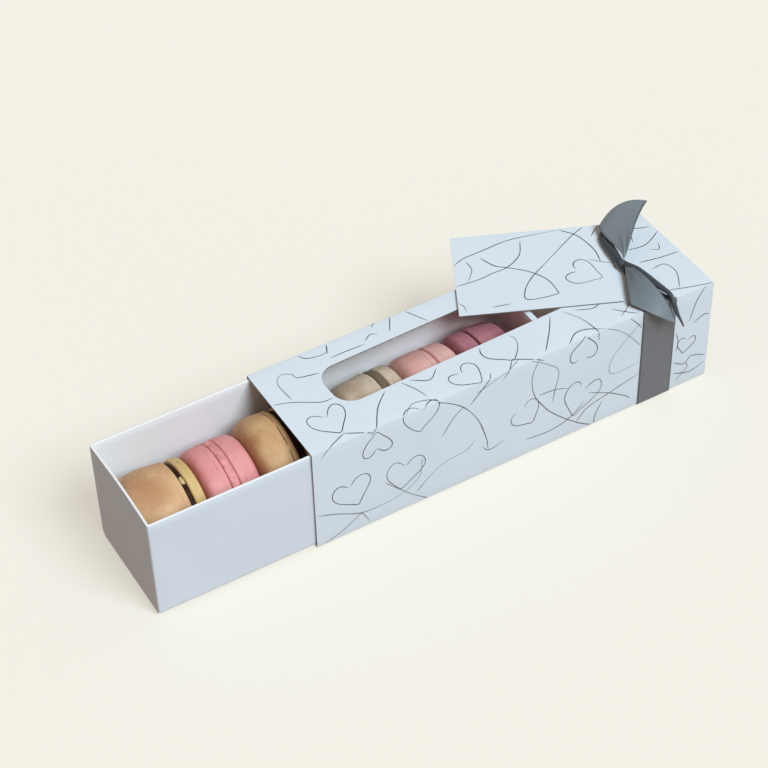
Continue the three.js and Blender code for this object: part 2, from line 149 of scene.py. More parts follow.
class Shader:
    """A Principled material and short ways to wire its nodes."""

    def __init__(self, name, roughness):
        self.material = bpy.data.materials.new(name)
        self.material.use_nodes = True
        self.tree = self.material.node_tree
        self.surface = self.tree.nodes["Principled BSDF"]
        self.surface.inputs["Roughness"].default_value = roughness

    def node(self, kind, **inputs):
        made = self.tree.nodes.new(kind)
        for key, value in inputs.items():
            made.inputs[key.replace("_", " ")].default_value = value
        return made

    def link(self, source, target):
        self.tree.links.new(source, target)

    def coordinates(self, stretch=(1, 1, 1)):
        source = self.node("ShaderNodeTexCoord")
        mapping = self.node("ShaderNodeMapping")
        mapping.inputs["Scale"].default_value = stretch
        self.link(source.outputs["Object"], mapping.inputs["Vector"])
        return mapping.outputs["Vector"]

    def noise(self, size_mm, detail=3, stretch=(1, 1, 1)):
        made = self.node("ShaderNodeTexNoise", Scale=1 / (size_mm * MM), Detail=detail)
        self.link(self.coordinates(stretch), made.inputs["Vector"])
        return made.outputs["Fac"]

    def ramp(self, value, stops):
        made = self.node("ShaderNodeValToRGB")
        elements = made.color_ramp.elements
        while len(elements) < len(stops):
            elements.new(0.5)
        for element, (position, colour) in zip(elements, stops):
            element.position = position
            element.color = (*colour, 1)
        self.link(value, made.inputs["Fac"])
        return made.outputs["Color"]

    def mix(self, factor, first, second):
        made = self.node("ShaderNodeMix")
        made.data_type = "RGBA"
        self.link(factor, made.inputs["Factor"])
        for value, socket in ((first, made.inputs["A"]), (second, made.inputs["B"])):
            if isinstance(value, tuple):
                socket.default_value = (*value, 1)
            else:
                self.link(value, socket)
        return made.outputs["Result"]

    def level(self, value, low, high, at_low, at_high):
        """The value brought from low..high to at_low..at_high and held there."""
        made = self.node("ShaderNodeMapRange")
        numbers = {"From Min": low, "From Max": high, "To Min": at_low, "To Max": at_high}
        for key, number in numbers.items():
            made.inputs[key].default_value = number
        self.link(value, made.inputs["Value"])
        return made.outputs["Result"]

    def attribute(self, name, at_low, at_high):
        """A number that the mesh carries at each point, from 0 to 1."""
        made = self.node("ShaderNodeAttribute")
        made.attribute_name = name
        return self.level(made.outputs["Fac"], 0, 1, at_low, at_high)

    def long_fold(self):
        """From 0 on flat card to 1 in the middle of a fold that runs along x."""
        geometry = self.node("ShaderNodeNewGeometry")
        parts = self.node("ShaderNodeSeparateXYZ")
        self.link(geometry.outputs["Normal"], parts.inputs["Vector"])
        product = self.node("ShaderNodeMath")
        product.operation = "MULTIPLY"
        self.link(parts.outputs["Y"], product.inputs[0])
        self.link(parts.outputs["Z"], product.inputs[1])
        size = self.node("ShaderNodeMath")
        size.operation = "ABSOLUTE"
        self.link(product.outputs[0], size.inputs[0])
        return self.level(size.outputs[0], 0.1, 0.4, 0, 1)

    def colour(self, source):
        self.link(source, self.surface.inputs["Base Color"])

    def roughness_between(self, value, low, high):
        self.link(self.level(value, 0, 1, low, high), self.surface.inputs["Roughness"])

    def surface_value(self, name, value):
        self.surface.inputs[name].default_value = value

    def bump(self, heights):
        """heights is a list of (height, depth in millimetres)."""
        previous = None
        for height, depth in heights:
            made = self.node("ShaderNodeBump", Strength=1.0, Distance=depth * MM)
            self.link(height, made.inputs["Height"])
            if previous:
                self.link(previous.outputs["Normal"], made.inputs["Normal"])
            previous = made
        self.link(previous.outputs["Normal"], self.surface.inputs["Normal"])


MATT_SPECULAR = 0.2


def scaled(colour, factor):
    return tuple(min(channel * factor, 1) for channel in colour)


def card_material(name, colour, roughness, painted_fold_shade=False, painted_reflection=None):
    """Coated card: faint cloudy tone, long fibres and a fine surface grain. Where asked, its folds are
    painted darker as shade, or a rosy painted reflection of the last cookie tints it."""
    shader = Shader(name, roughness)
    shader.surface_value("Specular IOR Level", MATT_SPECULAR)
    clouds = shader.noise(34, detail=2)
    base = shader.ramp(clouds, [(0.35, scaled(colour, 0.965)), (0.65, scaled(colour, 1.02))])
    fibres = shader.noise(0.9, detail=4, stretch=(0.25, 1, 1))
    base = shader.mix(fibres, base, scaled(colour, 0.985))
    # painted reflection: the lining is tinted rosy by the last cookie, as the light it reflects
    if painted_reflection:
        base = shader.mix(shader.attribute("by_last_cookie", 0, 0.85), base, painted_reflection)
    # painted shade: the folds are darkened where the card turns away from the light
    if painted_fold_shade:
        base = shader.mix(shader.long_fold(), base, scaled(colour, 0.8))
    shader.colour(base)
    shader.roughness_between(clouds, roughness - 0.04, roughness + 0.06)
    shader.bump([(fibres, 0.012), (shader.noise(0.25), 0.006)])
    return shader.material


def shaded_cut_edge_material():
    """The cut edge of card, with its layered fibres, coloured dark as painted shade along the edges."""
    shader = Shader("card_cut_edge_painted_shade", 0.8)
    layers = shader.noise(0.15, detail=3, stretch=(0.3, 0.3, 2))
    # painted shade: dark grey stands in for the shadow line along the cut edges
    shader.colour(shader.ramp(layers, [(0.3, (0.12, 0.115, 0.115)), (0.7, (0.21, 0.205, 0.2))]))
    shader.bump([(layers, 0.03)])
    return shader.material


def ink_material():
    shader = Shader("printed_line", 0.42)
    worn = shader.noise(2.2, detail=4)
    ink = shader.ramp(worn, [(0.3, (0.025, 0.031, 0.04)), (0.72, (0.1, 0.12, 0.145))])
    shader.colour(shader.mix(shader.attribute("faint", 0, 1), ink, (0.34, 0.39, 0.44)))
    shader.bump([(shader.noise(0.3), 0.004)])
    return shader.material


def satin_material(name, colour, roughness, sheen=0.25):
    """Satin ribbon: fine warp threads that run along it, with a soft uneven sheen."""
    shader = Shader(name, roughness)
    cloud = shader.noise(9, detail=2)
    threads = shader.node("ShaderNodeTexWave", Scale=1 / (0.5 * MM), Distortion=1.2, Detail=2)
    threads.bands_direction = "X"
    shader.link(shader.coordinates((0.25, 0.02, 0.02)), threads.inputs["Vector"])
    fibres = shader.noise(0.35, detail=4, stretch=(1, 0.12, 0.12))
    tone = shader.ramp(cloud, [(0.3, scaled(colour, 0.9)), (0.7, scaled(colour, 1.1))])
    tone = shader.mix(fibres, tone, scaled(colour, 1.14))
    # painted shade: the ribbon darkens towards the knot, where shade falls
    tone = shader.mix(shader.attribute("painted_knot_shade", 0, 0.42), tone, scaled(colour, 0.45))
    shader.colour(shader.mix(shader.attribute("selvedge", 0, 0.85), tone, scaled(colour, 0.3)))
    shader.roughness_between(fibres, roughness - 0.07, roughness + 0.09)
    shader.surface_value("Sheen Weight", sheen)
    shader.surface_value("Sheen Roughness", 0.4)
    shader.bump([(threads.outputs["Fac"], 0.02), (fibres, 0.02)])
    return shader.material


def shell_material(name, colour, toasted, pale, shaded_crack):
    """Baked shell: a smooth skin with cloudy baking tones, painted paler near the filling as light on its
    rim, with faint scorched streaks, a dark crack above the foot coloured as painted shade, fine grain and
    a few pores."""
    shader = Shader(name, 0.6)
    tone = shader.noise(11, detail=3)
    base = shader.ramp(tone, [(0.32, toasted), (0.5, colour), (0.68, pale)])
    # painted light: the shell grows paler towards the filling, as the lit rim
    base = shader.mix(shader.attribute("painted_light_near_filling", 0.0, 0.55), base, pale)
    grain = shader.noise(0.8, detail=5)
    base = shader.mix(shader.level(grain, 0.2, 0.9, 0.0, 0.35), base, scaled(colour, 0.86))
    streaks = shader.level(shader.noise(1.6, detail=2, stretch=(0.35, 1, 1)), 0.63, 0.74, 0.0, 0.45)
    base = shader.mix(streaks, base, scaled(toasted, 0.8))
    # painted shade: the crack above the foot is coloured dark
    shader.colour(shader.mix(shader.attribute("shaded_crack", 0.0, 1.0), base, shaded_crack))
    shader.roughness_between(grain, 0.5, 0.72)
    shader.surface_value("Specular IOR Level", 0.35)
    shader.surface_value("Subsurface Weight", 0.12)
    shader.surface_value("Subsurface Radius", (1.0, 0.6, 0.4))
    shader.surface_value("Subsurface Scale", 2 * MM)
    pores = shader.node("ShaderNodeTexVoronoi", Scale=1 / (1.9 * MM))
    shader.link(shader.coordinates(), pores.inputs["Vector"])
    pits = shader.ramp(pores.outputs["Distance"], [(0.04, (0, 0, 0)), (0.16, (1, 1, 1))])
    shader.bump([(grain, 0.12), (shader.noise(0.28, detail=2), 0.04), (pits, 0.05)])
    return shader.material


def filling_material(name, colour, roughness):
    shader = Shader(name, roughness)
    tone = shader.noise(2.4, detail=4)
    shader.colour(shader.ramp(tone, [(0.3, scaled(colour, 0.78)), (0.7, scaled(colour, 1.2))]))
    shader.surface_value("Specular IOR Level", MATT_SPECULAR)
    shader.bump([(tone, 0.12), (shader.noise(0.5), 0.05)])
    return shader.material


PRINTED = card_material("printed_card_face", (0.65, 0.73, 0.805), 0.6, painted_fold_shade=True)
PLAIN = card_material("plain_card_face", (0.645, 0.715, 0.79), 0.62)
TRAY_LINING = card_material("tray_lining", (0.755, 0.78, 0.815), 0.66, painted_reflection=(0.95, 0.77, 0.775))
TRAY_RIM_HIGHLIGHT = card_material("tray_rim_painted_highlight", (0.81, 0.83, 0.86), 0.62)
INSIDE = card_material("sleeve_inside", (0.84, 0.8, 0.77), 0.66)
SHADED_CUT_EDGE = shaded_cut_edge_material()
INK = ink_material()
# One satin ribbon in three tones: the ends are painted lighter than the band, the far end most, as sheen.
RIBBON = satin_material("satin_ribbon", (0.11, 0.117, 0.131), 0.42)
RIBBON_FAR_PAINTED_SHEEN = satin_material("satin_ribbon_far_end_painted_sheen", (0.225, 0.285, 0.325), 0.42)
RIBBON_NEAR_PAINTED_SHEEN = satin_material("satin_ribbon_near_end_painted_sheen", (0.14, 0.174, 0.198), 0.46)
# The ribbon's reverse, darkened further as painted shade: it colours the backs, the gathers on top, the
# near strand and the knot.
RIBBON_REVERSE_SHADED = satin_material("satin_ribbon_reverse_painted_shade", (0.035, 0.047, 0.056), 0.6, 0.0)

# painted shade: the dark colours inside the cracks above the foot
TAN_CRACK_SHADE = (0.1, 0.035, 0.012)
PINK_CRACK_SHADE = (0.42, 0.1, 0.11)
DARK_CRACK_SHADE = (0.16, 0.04, 0.06)
# Each shell's main colour, its toasted and pale patches, and the painted shade in its cracks
SHELL_COLOURS = {
    "tan": ((0.55, 0.33, 0.175), (0.47, 0.245, 0.125), (0.68, 0.45, 0.25), TAN_CRACK_SHADE),
    # painted light: the first cookie's right shell is a lighter copy of the tan, as if lit
    "gold": ((0.62, 0.44, 0.18), (0.54, 0.33, 0.135), (0.65, 0.48, 0.22), TAN_CRACK_SHADE),
    "pink": ((0.7, 0.285, 0.288), (0.63, 0.225, 0.232), (0.745, 0.34, 0.338), PINK_CRACK_SHADE),
    "brown": ((0.55, 0.335, 0.17), (0.47, 0.235, 0.11), (0.62, 0.42, 0.225), TAN_CRACK_SHADE),
    "cream": ((0.58, 0.48, 0.36), (0.44, 0.32, 0.23), (0.63, 0.54, 0.44), TAN_CRACK_SHADE),
    "rose": ((0.7, 0.39, 0.36), (0.6, 0.3, 0.28), (0.76, 0.5, 0.47), PINK_CRACK_SHADE),
    "dark_rose": ((0.4, 0.16, 0.2), (0.31, 0.11, 0.14), (0.47, 0.21, 0.25), DARK_CRACK_SHADE),
}
SHELLS = {name: shell_material("shell_" + name, *colours) for name, colours in SHELL_COLOURS.items()}
FILLINGS = {
    "dark_brown": filling_material("filling_dark_brown", (0.03, 0.009, 0.003), 0.6),
    "pink": filling_material("filling_pink", (0.7, 0.29, 0.29), 0.6),
    "grey_brown": filling_material("filling_grey_brown", (0.17, 0.13, 0.09), 0.5),
    "dark_rose": filling_material("filling_dark_rose", (0.13, 0.035, 0.05), 0.45),
}


# The sleeve's wall, measured round it: front, top, back and under, each face in turn

PERIMETER = 2 * (HEIGHT + WIDTH)
BULGE = 0.28


def wall_point(x, round_it, grow):
    """The point on the sleeve's skin at x and a distance round_it from its near lower edge, going up
    the front, over the top, down the back and under. grow lifts it off the outer skin."""
    t = round_it % PERIMETER
    if t < HEIGHT:
        y, z = 0.0, t
    elif t < HEIGHT + WIDTH:
        y, z = t - HEIGHT, HEIGHT
    elif t < 2 * HEIGHT + WIDTH:
        y, z = WIDTH, 2 * HEIGHT + WIDTH - t
    else:
        y, z = PERIMETER - t, 0.0
    centre_y = min(max(y, FOLD), WIDTH - FOLD)
    centre_z = min(max(z, FOLD), HEIGHT - FOLD)
    out_y, out_z = y - centre_y, z - centre_z
    size = math.hypot(out_y, out_z)
    out_y, out_z = out_y / size, out_z / size
    reach = FOLD + grow
    y, z = centre_y + out_y * reach, centre_z + out_z * reach
    bow = BULGE * math.sin(math.pi * min(max(z / HEIGHT, 0), 1)) * math.sin(math.pi * x / LENGTH) ** 0.5
    return Vector((x, y + out_y * abs(out_y) * bow, z))


def skin(x, round_it, grow):
    return place(*wall_point(x, round_it, grow))


def round_stations(flat_steps, fold_steps):
    """Distances round the sleeve, close together at its four folds."""
    stations = []
    start = 0.0
    for side in (HEIGHT, WIDTH, HEIGHT, WIDTH):
        parts = (0, FOLD, fold_steps), (FOLD, side - FOLD, flat_steps), (side - FOLD, side, fold_steps)
        for low, high, steps in parts:
            stations += [start + lerp(low, high, i / steps) for i in range(steps)]
        start += side
    return stations


def tube_mesh(xs, stations, outer, inner):
    """A ring-shaped wall along xs between two skins, as vertices and the faces of its outer skin, its
    inner skin and its rims. The faces run strip by strip along it, because the window's cut comes out
    wrong when they run round it."""
    vertices = []
    for grow in (outer, inner):
        for x in xs:
            vertices += [skin(x, t, grow) for t in stations]
    columns, rows = len(stations), len(xs)
    other = rows * columns
    outside, inside, rims = [], [], []
    for j in range(columns):
        k = (j + 1) % columns
        for i in range(rows - 1):
            a, b, c, d = i * columns + j, i * columns + k, (i + 1) * columns + k, (i + 1) * columns + j
            outside.append((a, d, c, b))
            inside.append((other + a, other + b, other + c, other + d))
        last = (rows - 1) * columns
        rims.append((j, k, other + k, other + j))
        rims.append((last + k, last + j, other + last + j, other + last + k))
    return vertices, outside, inside, rims


def rounded_outline(left, near, right, far, corner, steps):
    points = []
    for cx, cy, start in (
        (right - corner, near + corner, -90),
        (right - corner, far - corner, 0),
        (left + corner, far - corner, 90),
        (left + corner, near + corner, 180),
    ):
        for i in range(steps + 1):
            angle = math.radians(start + 90 * i / steps)
            points.append((cx + corner * math.cos(angle), cy + corner * math.sin(angle)))
    return points


def prism(name, outline, bottom, top):
    count = len(outline)
    vertices = [place(x, y, z) for z in (bottom, top) for x, y in outline]
    caps = [tuple(reversed(range(count))), tuple(range(count, 2 * count))]
    return new_object(name, vertices, caps + ring_faces(2, count), [])


def make_sleeve():
    """The printed sleeve, with the window cut through its top."""
    lengthways = 56
    xs = [lerp(0, LENGTH, i / lengthways) for i in range(lengthways + 1)]
    stations = round_stations(flat_steps=10, fold_steps=4)
    vertices, outside, inside, rims = tube_mesh(xs, stations, 0, -CARD)
    obj = new_object("sleeve_card", vertices, outside + inside + rims, [PRINTED, INSIDE, SHADED_CUT_EDGE])
    paint(obj, len(outside), len(inside), len(rims))
    sides = [WINDOW[side] for side in ("start", "near", "end", "far", "corner")]
    outline = [turned_about_window(x, y, WINDOW["tilt"]) for x, y in rounded_outline(*sides, steps=12)]
    reach = 3
    cutter = prism("window_cutter", outline, HEIGHT - reach, HEIGHT + reach)
    cutter.data.materials.append(SHADED_CUT_EDGE)
    cut = obj.modifiers.new("window", "BOOLEAN")
    cut.operation = "DIFFERENCE"
    cut.solver = "EXACT"
    cut.material_mode = "TRANSFER"
    cut.object = cutter
    depsgraph = bpy.context.evaluated_depsgraph_get()
    finished = bpy.data.meshes.new_from_object(obj.evaluated_get(depsgraph))
    obj.modifiers.clear()
    obj.data = finished
    finished.shade_smooth()
    finished.set_sharp_from_angle(angle=math.radians(CARD_EDGE))
    bpy.data.objects.remove(cutter)
    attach(obj, SLEEVE_BODY)
    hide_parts("sleeve")


# The tray, built as a stack of outlines: up its outside, over the rim and down its inside

TRAY_LOW, TRAY_HIGH = (Vector(v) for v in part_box("tray"))
TRAY_START, TRAY_NEAR, TRAY_BOTTOM = (TRAY_LOW - CORNER) / MM
TRAY_END, TRAY_FAR, TRAY_TOP = (TRAY_HIGH - CORNER) / MM
TRAY_FLOOR = TRAY_BOTTOM + CARD
SIDE_WALL = 1.0
FRONT_WALL = 1.1
INNER_WALL = 2.8
# How far the side walls bow out in their middle, and the pulled-out end bows in
SIDE_BOW = 0.22
END_BOW = 0.5
TRAY_FOLD = 0.7
NEAR_FOLD_OPENED = 1.0
FAR_FOLD_OPENED = 3.6
FOLD_OPENING = 26
OUTER_CORNER = 0.9
INNER_CORNER = 0.5
# Where the painted rosy reflection of the last cookie on the lining starts and is full, measured from the
# tray's inner end
PAINTED_REFLECTION_OVER = (42, 16)
LONG_SIDE = 10
POINT_SPACING = 6
LINING_TUCK = 0.4
BY_A_WALL = 5
ON_A_WALL = 0.01
# How far each outline of the rim is below the tray's top, its inset and its corner, from the outside
# over to the inside
RIM = [
    (0.25, 0, OUTER_CORNER, False),
    (0.06, 0.08, 0.85, False),
    (0, 0.25, 0.7, False),
    (0, -0.25, 0.7, True),
    (0.06, -0.08, 0.6, True),
    (0.25, 0, INNER_CORNER, True),
]


def tray_fold(x, far_side):
    """The radius of the fold along the tray's lower edges, which opens up at the pulled-out end."""
    opened = FAR_FOLD_OPENED if far_side else NEAR_FOLD_OPENED
    return lerp(opened, TRAY_FOLD, smooth(TRAY_START, TRAY_START + FOLD_OPENING, x))


def tray_ring(z, inset, corner, inside):
    """One outline of the tray. inset draws it in from the outer or, if inside, the inner wall faces."""
    left = TRAY_START + (FRONT_WALL if inside else 0) + inset
    right = TRAY_END - (INNER_WALL if inside else 0) - inset
    near = TRAY_NEAR + (SIDE_WALL if inside else 0) + inset
    far = TRAY_FAR - (SIDE_WALL if inside else 0) - inset
    points = []
    corners = rounded_outline(left, near, right, far, corner, 4)
    for index, point in enumerate(corners):
        points.append(point)
        following = corners[(index + 1) % len(corners)]
        gap = math.dist(point, following)
        if gap > LONG_SIDE:
            steps = max(int(gap / POINT_SPACING), 2)
            points += [
                (lerp(point[0], following[0], i / steps), lerp(point[1], following[1], i / steps))
                for i in range(1, steps)
            ]
    middle = (near + far) / 2
    ring = []
    for x, y in points:
        height = z - TRAY_BOTTOM
        fold = tray_fold(x, y > middle)
        tuck = fold - math.sqrt(max(fold * fold - (fold - height) ** 2, 0)) if height < fold else 0
        if inside:
            tuck = max(tuck - LINING_TUCK, 0)
        side = 1 if y < middle else -1
        along = (x - TRAY_START) / (TRAY_END - TRAY_START)
        upward = height / (TRAY_TOP - TRAY_BOTTOM)
        bow = SIDE_BOW * math.sin(math.pi * along) * math.sin(math.pi * upward)
        reach = min(abs(y - near), abs(y - far))
        y += side * (tuck if reach < BY_A_WALL else 0) - side * (bow if reach < ON_A_WALL else 0)
        end_bow = END_BOW * math.sin(math.pi * (y - near) / (far - near)) if far > near else 0
        if abs(x - left) < ON_A_WALL:
            x += end_bow * upward
        ring.append(place(x, y, z))
    return ring


def make_tray():
    """The tray's floor and walls, with its lining in a tone of its own and its rim painted lighter as a
    highlight.
    """
    low, high = TRAY_BOTTOM, TRAY_TOP
    rings = [tray_ring(low, 0.4, 0.5, False)]
    for height in (0.12, 0.3, 0.6, 1.0, 1.6, 2.4, 3.2, 3.8):
        rings.append(tray_ring(low + height, 0, OUTER_CORNER, False))
    for share in (0.2, 0.35, 0.5, 0.65, 0.8, 0.92):
        rings.append(tray_ring(lerp(low, high, share), 0, OUTER_CORNER, False))
    rim_start = len(rings)
    rings += [tray_ring(high - below, inset, corner, inside) for below, inset, corner, inside in RIM]
    rim_end = len(rings) - 1
    for share in (0.92, 0.8, 0.65, 0.5, 0.35, 0.2, 0.1, 0.05):
        rings.append(tray_ring(lerp(low, high, share), 0, INNER_CORNER, True))
    rings.append(tray_ring(TRAY_FLOOR + 0.1, 0.05, INNER_CORNER, True))
    rings.append(tray_ring(TRAY_FLOOR, 0.3, 0.4, True))
    count = len(rings[0])
    vertices = [v for ring in rings for v in ring]
    faces = [tuple(reversed(range(count)))] + ring_faces(len(rings), count)
    faces.append(tuple(range((len(rings) - 1) * count, len(rings) * count)))
    obj = new_object("tray_card", vertices, faces, [PLAIN, TRAY_LINING, TRAY_RIM_HIGHLIGHT], BENT_EDGE)
    inner_wall_start = place(TRAY_END - 2 * INNER_WALL, 0, 0).x
    for face in obj.data.polygons[1 + rim_start * count :]:
        if face.index > rim_end * count:
            face.material_index = 1
        # painted highlight: the rim is coloured lighter, as if it catches the light
        elif face.center.x < inner_wall_start:
            face.material_index = 2
    # painted reflection of the last cookie: a rosy tint on the lining near the tray's inner end
    reflection_start, reflection_end = (place(TRAY_END - distance, 0, 0).x for distance in PAINTED_REFLECTION_OVER)
    mark(obj, "by_last_cookie", [smooth(reflection_start, reflection_end, vertex.x) for vertex in vertices])
    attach(obj, TRAY_BODY)
    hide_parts("tray")


# Cookies

ROUND_STEPS = 220
ROW_START = -72.5
ROW_GAP = 0.3
SEAM_GAP = 0.12
TRAY_REST = 0.12
FOOT = 3.0
SQUARENESS = 5.0
OUT_OF_ROUND = [(2, 0.01), (3, 0.006), (5, 0.004)]
PAINTED_LIGHT_NEAR_FILLING = (1, 12)
CRACK_HEIGHT = 2.55
CRACK_WIDTH = 0.15
CRACK_DEPTH = 0.8

# Each cookie is its left half, its filling, its right half and its finishes. A half is its radius at
# the filling, its thickness, how much wider it swells, and how open the line above its foot is. A
# filling is its thickness and how far it is set in.
COOKIES = [
    ((21.8, 23.9, 0.9, 0.25), (2.2, 0.8), (21.4, 5.4, 0.0, 0.2), ("tan", "dark_brown", "gold")),
    ((22.3, 10.7, -0.1, 0.3), (3.9, 0.08), (22.4, 10.3, 0.0, 0.25), ("pink", "pink", "pink")),
    ((24.1, 16.1, 0.1, 1.0), (3.7, 1.1), (23.8, 8.0, 0.0, 0.4), ("brown", "dark_brown", "brown")),
    ((22.6, 6.8, 0.0, 0.4), (2.6, 0.9), (22.4, 7.2, 0.0, 0.4), ("tan", "dark_brown", "tan")),
    ((23.0, 19.0, -0.5, 0.25), (3.7, 0.22), (23.1, 7.6, 0.0, 0.2), ("cream", "grey_brown", "cream")),
    ((23.1, 16.2, 0.0, 0.25), (0.8, 0.6), (23.1, 10.9, 0.0, 0.2), ("rose", "pink", "rose")),
    ((23.1, 8.8, 0.0, 0.2), (0.8, 0.7), (23.3, 16.0, 0.0, 0.2), ("dark_rose", "dark_rose", "dark_rose")),
]


def draw(cookie, purpose):
    """A repeatable number from 0 to 1 for a cookie and a purpose."""
    mixed = math.sin(cookie * 12.9898 + purpose * 78.233) * 43758.5453
    return mixed - math.floor(mixed)


def roundness(angle, cookie):
    """Cookies are piped by hand, so their outline is a little out of round."""
    size = 1
    for purpose, (lobes, share) in enumerate(OUT_OF_ROUND, 1):
        size += share * math.cos(lobes * angle + 2 * math.pi * draw(cookie, purpose))
    return size


def swollen(radius, swell, depth):
    return radius + swell * smooth(0, 8, depth)


def shell_profile(radius, thickness, swell):
    """Pairs of distance from the axis and distance from the filling, for one shell."""
    profile = [(0.0, 0.0), (radius * 0.5, 0.0), (radius - 2.0, 0.0), (radius - 0.8, 0.03)]
    profile += [(radius - 0.35, 0.2), (radius - 0.1, 0.5), (radius, 0.9)]
    for depth in (1.4, 1.9, 2.15, 2.3, 2.42, 2.54, 2.66, 2.78, 2.9, FOOT):
        profile.append((swollen(radius, swell, depth), depth))
    crown = thickness - FOOT
    steps = 44
    for i in range(1, steps + 1):
        angle = lerp(0.0, math.pi / 2, i / steps)
        depth = FOOT + crown * math.sin(angle) ** (2 / SQUARENESS)
        out = 0.0 if i == steps else math.cos(angle) ** (2 / SQUARENESS)
        profile.append((swollen(radius, swell, depth) * out, depth))
    return profile


def filling_profile(radius, thickness):
    """The same for the filling, whose two edges are rounded alike."""
    edge = min(thickness * 0.35, 0.5)
    half = [(0.0, 0.0), (radius * 0.6, 0.0), (radius - 1.2, 0.0)]
    half += [(radius - edge * 0.5, edge * 0.15), (radius, edge)]
    other_half = [(out, thickness - along) for out, along in reversed(half)]
    return half + [(radius + 0.05, thickness * 0.5)] + other_half


def turned(profile, centre, start, direction, cookie, relief):
    """A profile turned round the x axis. relief(point, along, out) gives how far the surface is
    lifted and pushed, and how much it is cracked, which the material colours as painted shade."""
    y0, z0 = centre
    vertices = [place(start, y0, z0)]
    shaded_cracks = [0.0]
    for out, along in profile[1:-1]:
        for k in range(ROUND_STEPS):
            angle = 2 * math.pi * k / ROUND_STEPS
            radius = out * roundness(angle, cookie)
            here = Vector((along * direction, radius * math.cos(angle), radius * math.sin(angle)))
            lift, push, shaded_crack = relief(here, along, out)
            radius += lift
            shaded_cracks.append(shaded_crack)
            x = start + direction * (along + push)
            vertices.append(place(x, y0 + radius * math.cos(angle), z0 + radius * math.sin(angle)))
    vertices.append(place(start + direction * profile[-1][1], y0, z0))
    rings = len(profile) - 2
    faces = ring_faces(rings, ROUND_STEPS, first=1)
    last = 1 + (rings - 1) * ROUND_STEPS
    for k in range(ROUND_STEPS):
        n = (k + 1) % ROUND_STEPS
        faces += [(0, 1 + n, 1 + k), (last + k, last + n, len(vertices) - 1)]
    if direction < 0:
        faces = [tuple(reversed(face)) for face in faces]
    return vertices, faces, shaded_cracks + [0.0]


def shell_relief(cookie, side, radius, crack):
    """A lightly ruffled foot, a broken crack above it, and a crown with soft dents."""
    seed = Vector((cookie * 31.7, side * 17.3, 5.1))

    def relief(here, along, out):
        edge = smooth(radius * 0.5, radius * 0.93, out)
        ruffle = noise.noise(here * 0.5 + seed) * 0.14 + noise.noise(here * 1.4 + seed) * 0.12
        foot = smooth(0.1, 0.6, along) * (1 - smooth(2.4, 3.0, along)) * ruffle
        wander = 0.35 * noise.noise(here * 0.16 + seed * 3)
        across = (along - CRACK_HEIGHT - wander) / CRACK_WIDTH
        broken = smooth(-0.08, 0.16, noise.noise(here * 0.3 + seed * 2) + 0.6 * crack - 0.2)
        shaded_crack = crack * broken * math.exp(-across * across)
        crown = smooth(FOOT, FOOT + 1.5, along)
        dents = noise.noise(here * 0.09 + seed) * 0.28 + noise.noise(here * 0.3 + seed) * 0.1
        lift = (foot - CRACK_DEPTH * shaded_crack + crown * dents) * edge
        push = crown * (1 - edge) * noise.noise(here * 0.1 + seed) * 0.35
        return min(lift, 0.28), min(push, 0.0), edge * shaded_crack

    return relief


def filling_relief(cookie, thickness):
    seed = Vector((cookie * 11.3, 71.9, 2.2))

    def relief(here, along, out):
        middle = math.sin(math.pi * along / thickness)
        wave = noise.noise(here * 0.35 + seed) * 0.35 + noise.noise(here * 1.1 + seed) * 0.18
        return middle * wave, 0, 0

    return relief


def rest_height(radius, cookie):
    """The height of a half's axis when its edge rests on the tray's floor."""
    angles = [2 * math.pi * k / 720 for k in range(720)]
    lowest = min(roundness(angle, cookie) * math.sin(angle) for angle in angles)
    return TRAY_FLOOR + TRAY_REST - lowest * radius


def make_cookies():
    """The row of cookies, each two shells with the filling between them."""
    seam = ROW_START
    for number, (left_half, (filling, inset), right_half, finishes) in enumerate(COOKIES, 1):
        left, cream, right = finishes
        seam += left_half[1]
        widest = max(radius + max(swell, 0) for radius, _, swell, _ in (left_half, right_half))
        centre = (WIDTH / 2, rest_height(widest, number))
        pieces = []
        for side, name, start, direction, half, finish in (
            (1, "left_shell", seam, -1, left_half, left),
            (2, "right_shell", seam + filling, 1, right_half, right),
        ):
            relief = shell_relief(number, side, half[0], half[3])
            slot = "shell_" + finish
            pieces.append((name, shell_profile(*half[:3]), start, direction, relief, SHELLS[finish], slot))
        profile = filling_profile(min(left_half[0], right_half[0]) - inset, filling - 2 * SEAM_GAP)
        relief = filling_relief(number, filling)
        slot = "filling_" + cream
        pieces.append(("filling", profile, seam + SEAM_GAP, 1, relief, FILLINGS[cream], slot))
        for part, profile, start, direction, relief, finish, slot in pieces:
            vertices, faces, shaded_cracks = turned(profile, centre, start, direction, number, relief)
            obj = new_object(f"baked_{number}_{part}", vertices, faces, [finish], SOFT_EDGE)
            seam_x = place(start, 0, 0).x
            # painted light: how near each point is to the filling, where the shell is painted paler
            near = [1 - smooth(*PAINTED_LIGHT_NEAR_FILLING, abs(v.x - seam_x) / MM) for v in vertices]
            mark(obj, "painted_light_near_filling", near)
            mark(obj, "shaded_crack", shaded_cracks)
            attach(obj, TRAY_BODY)
            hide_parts(f"cookie_{number}_{part}")
        seam += filling + right_half[1] + ROW_GAP


CRUMB_RADII = (0.9, 1.7, 0.6)
CRUMB_ANGLE = math.radians(101)
CRUMB_SINKS_IN = 0.2
CRUMB_FROM_SEAM = 1.1


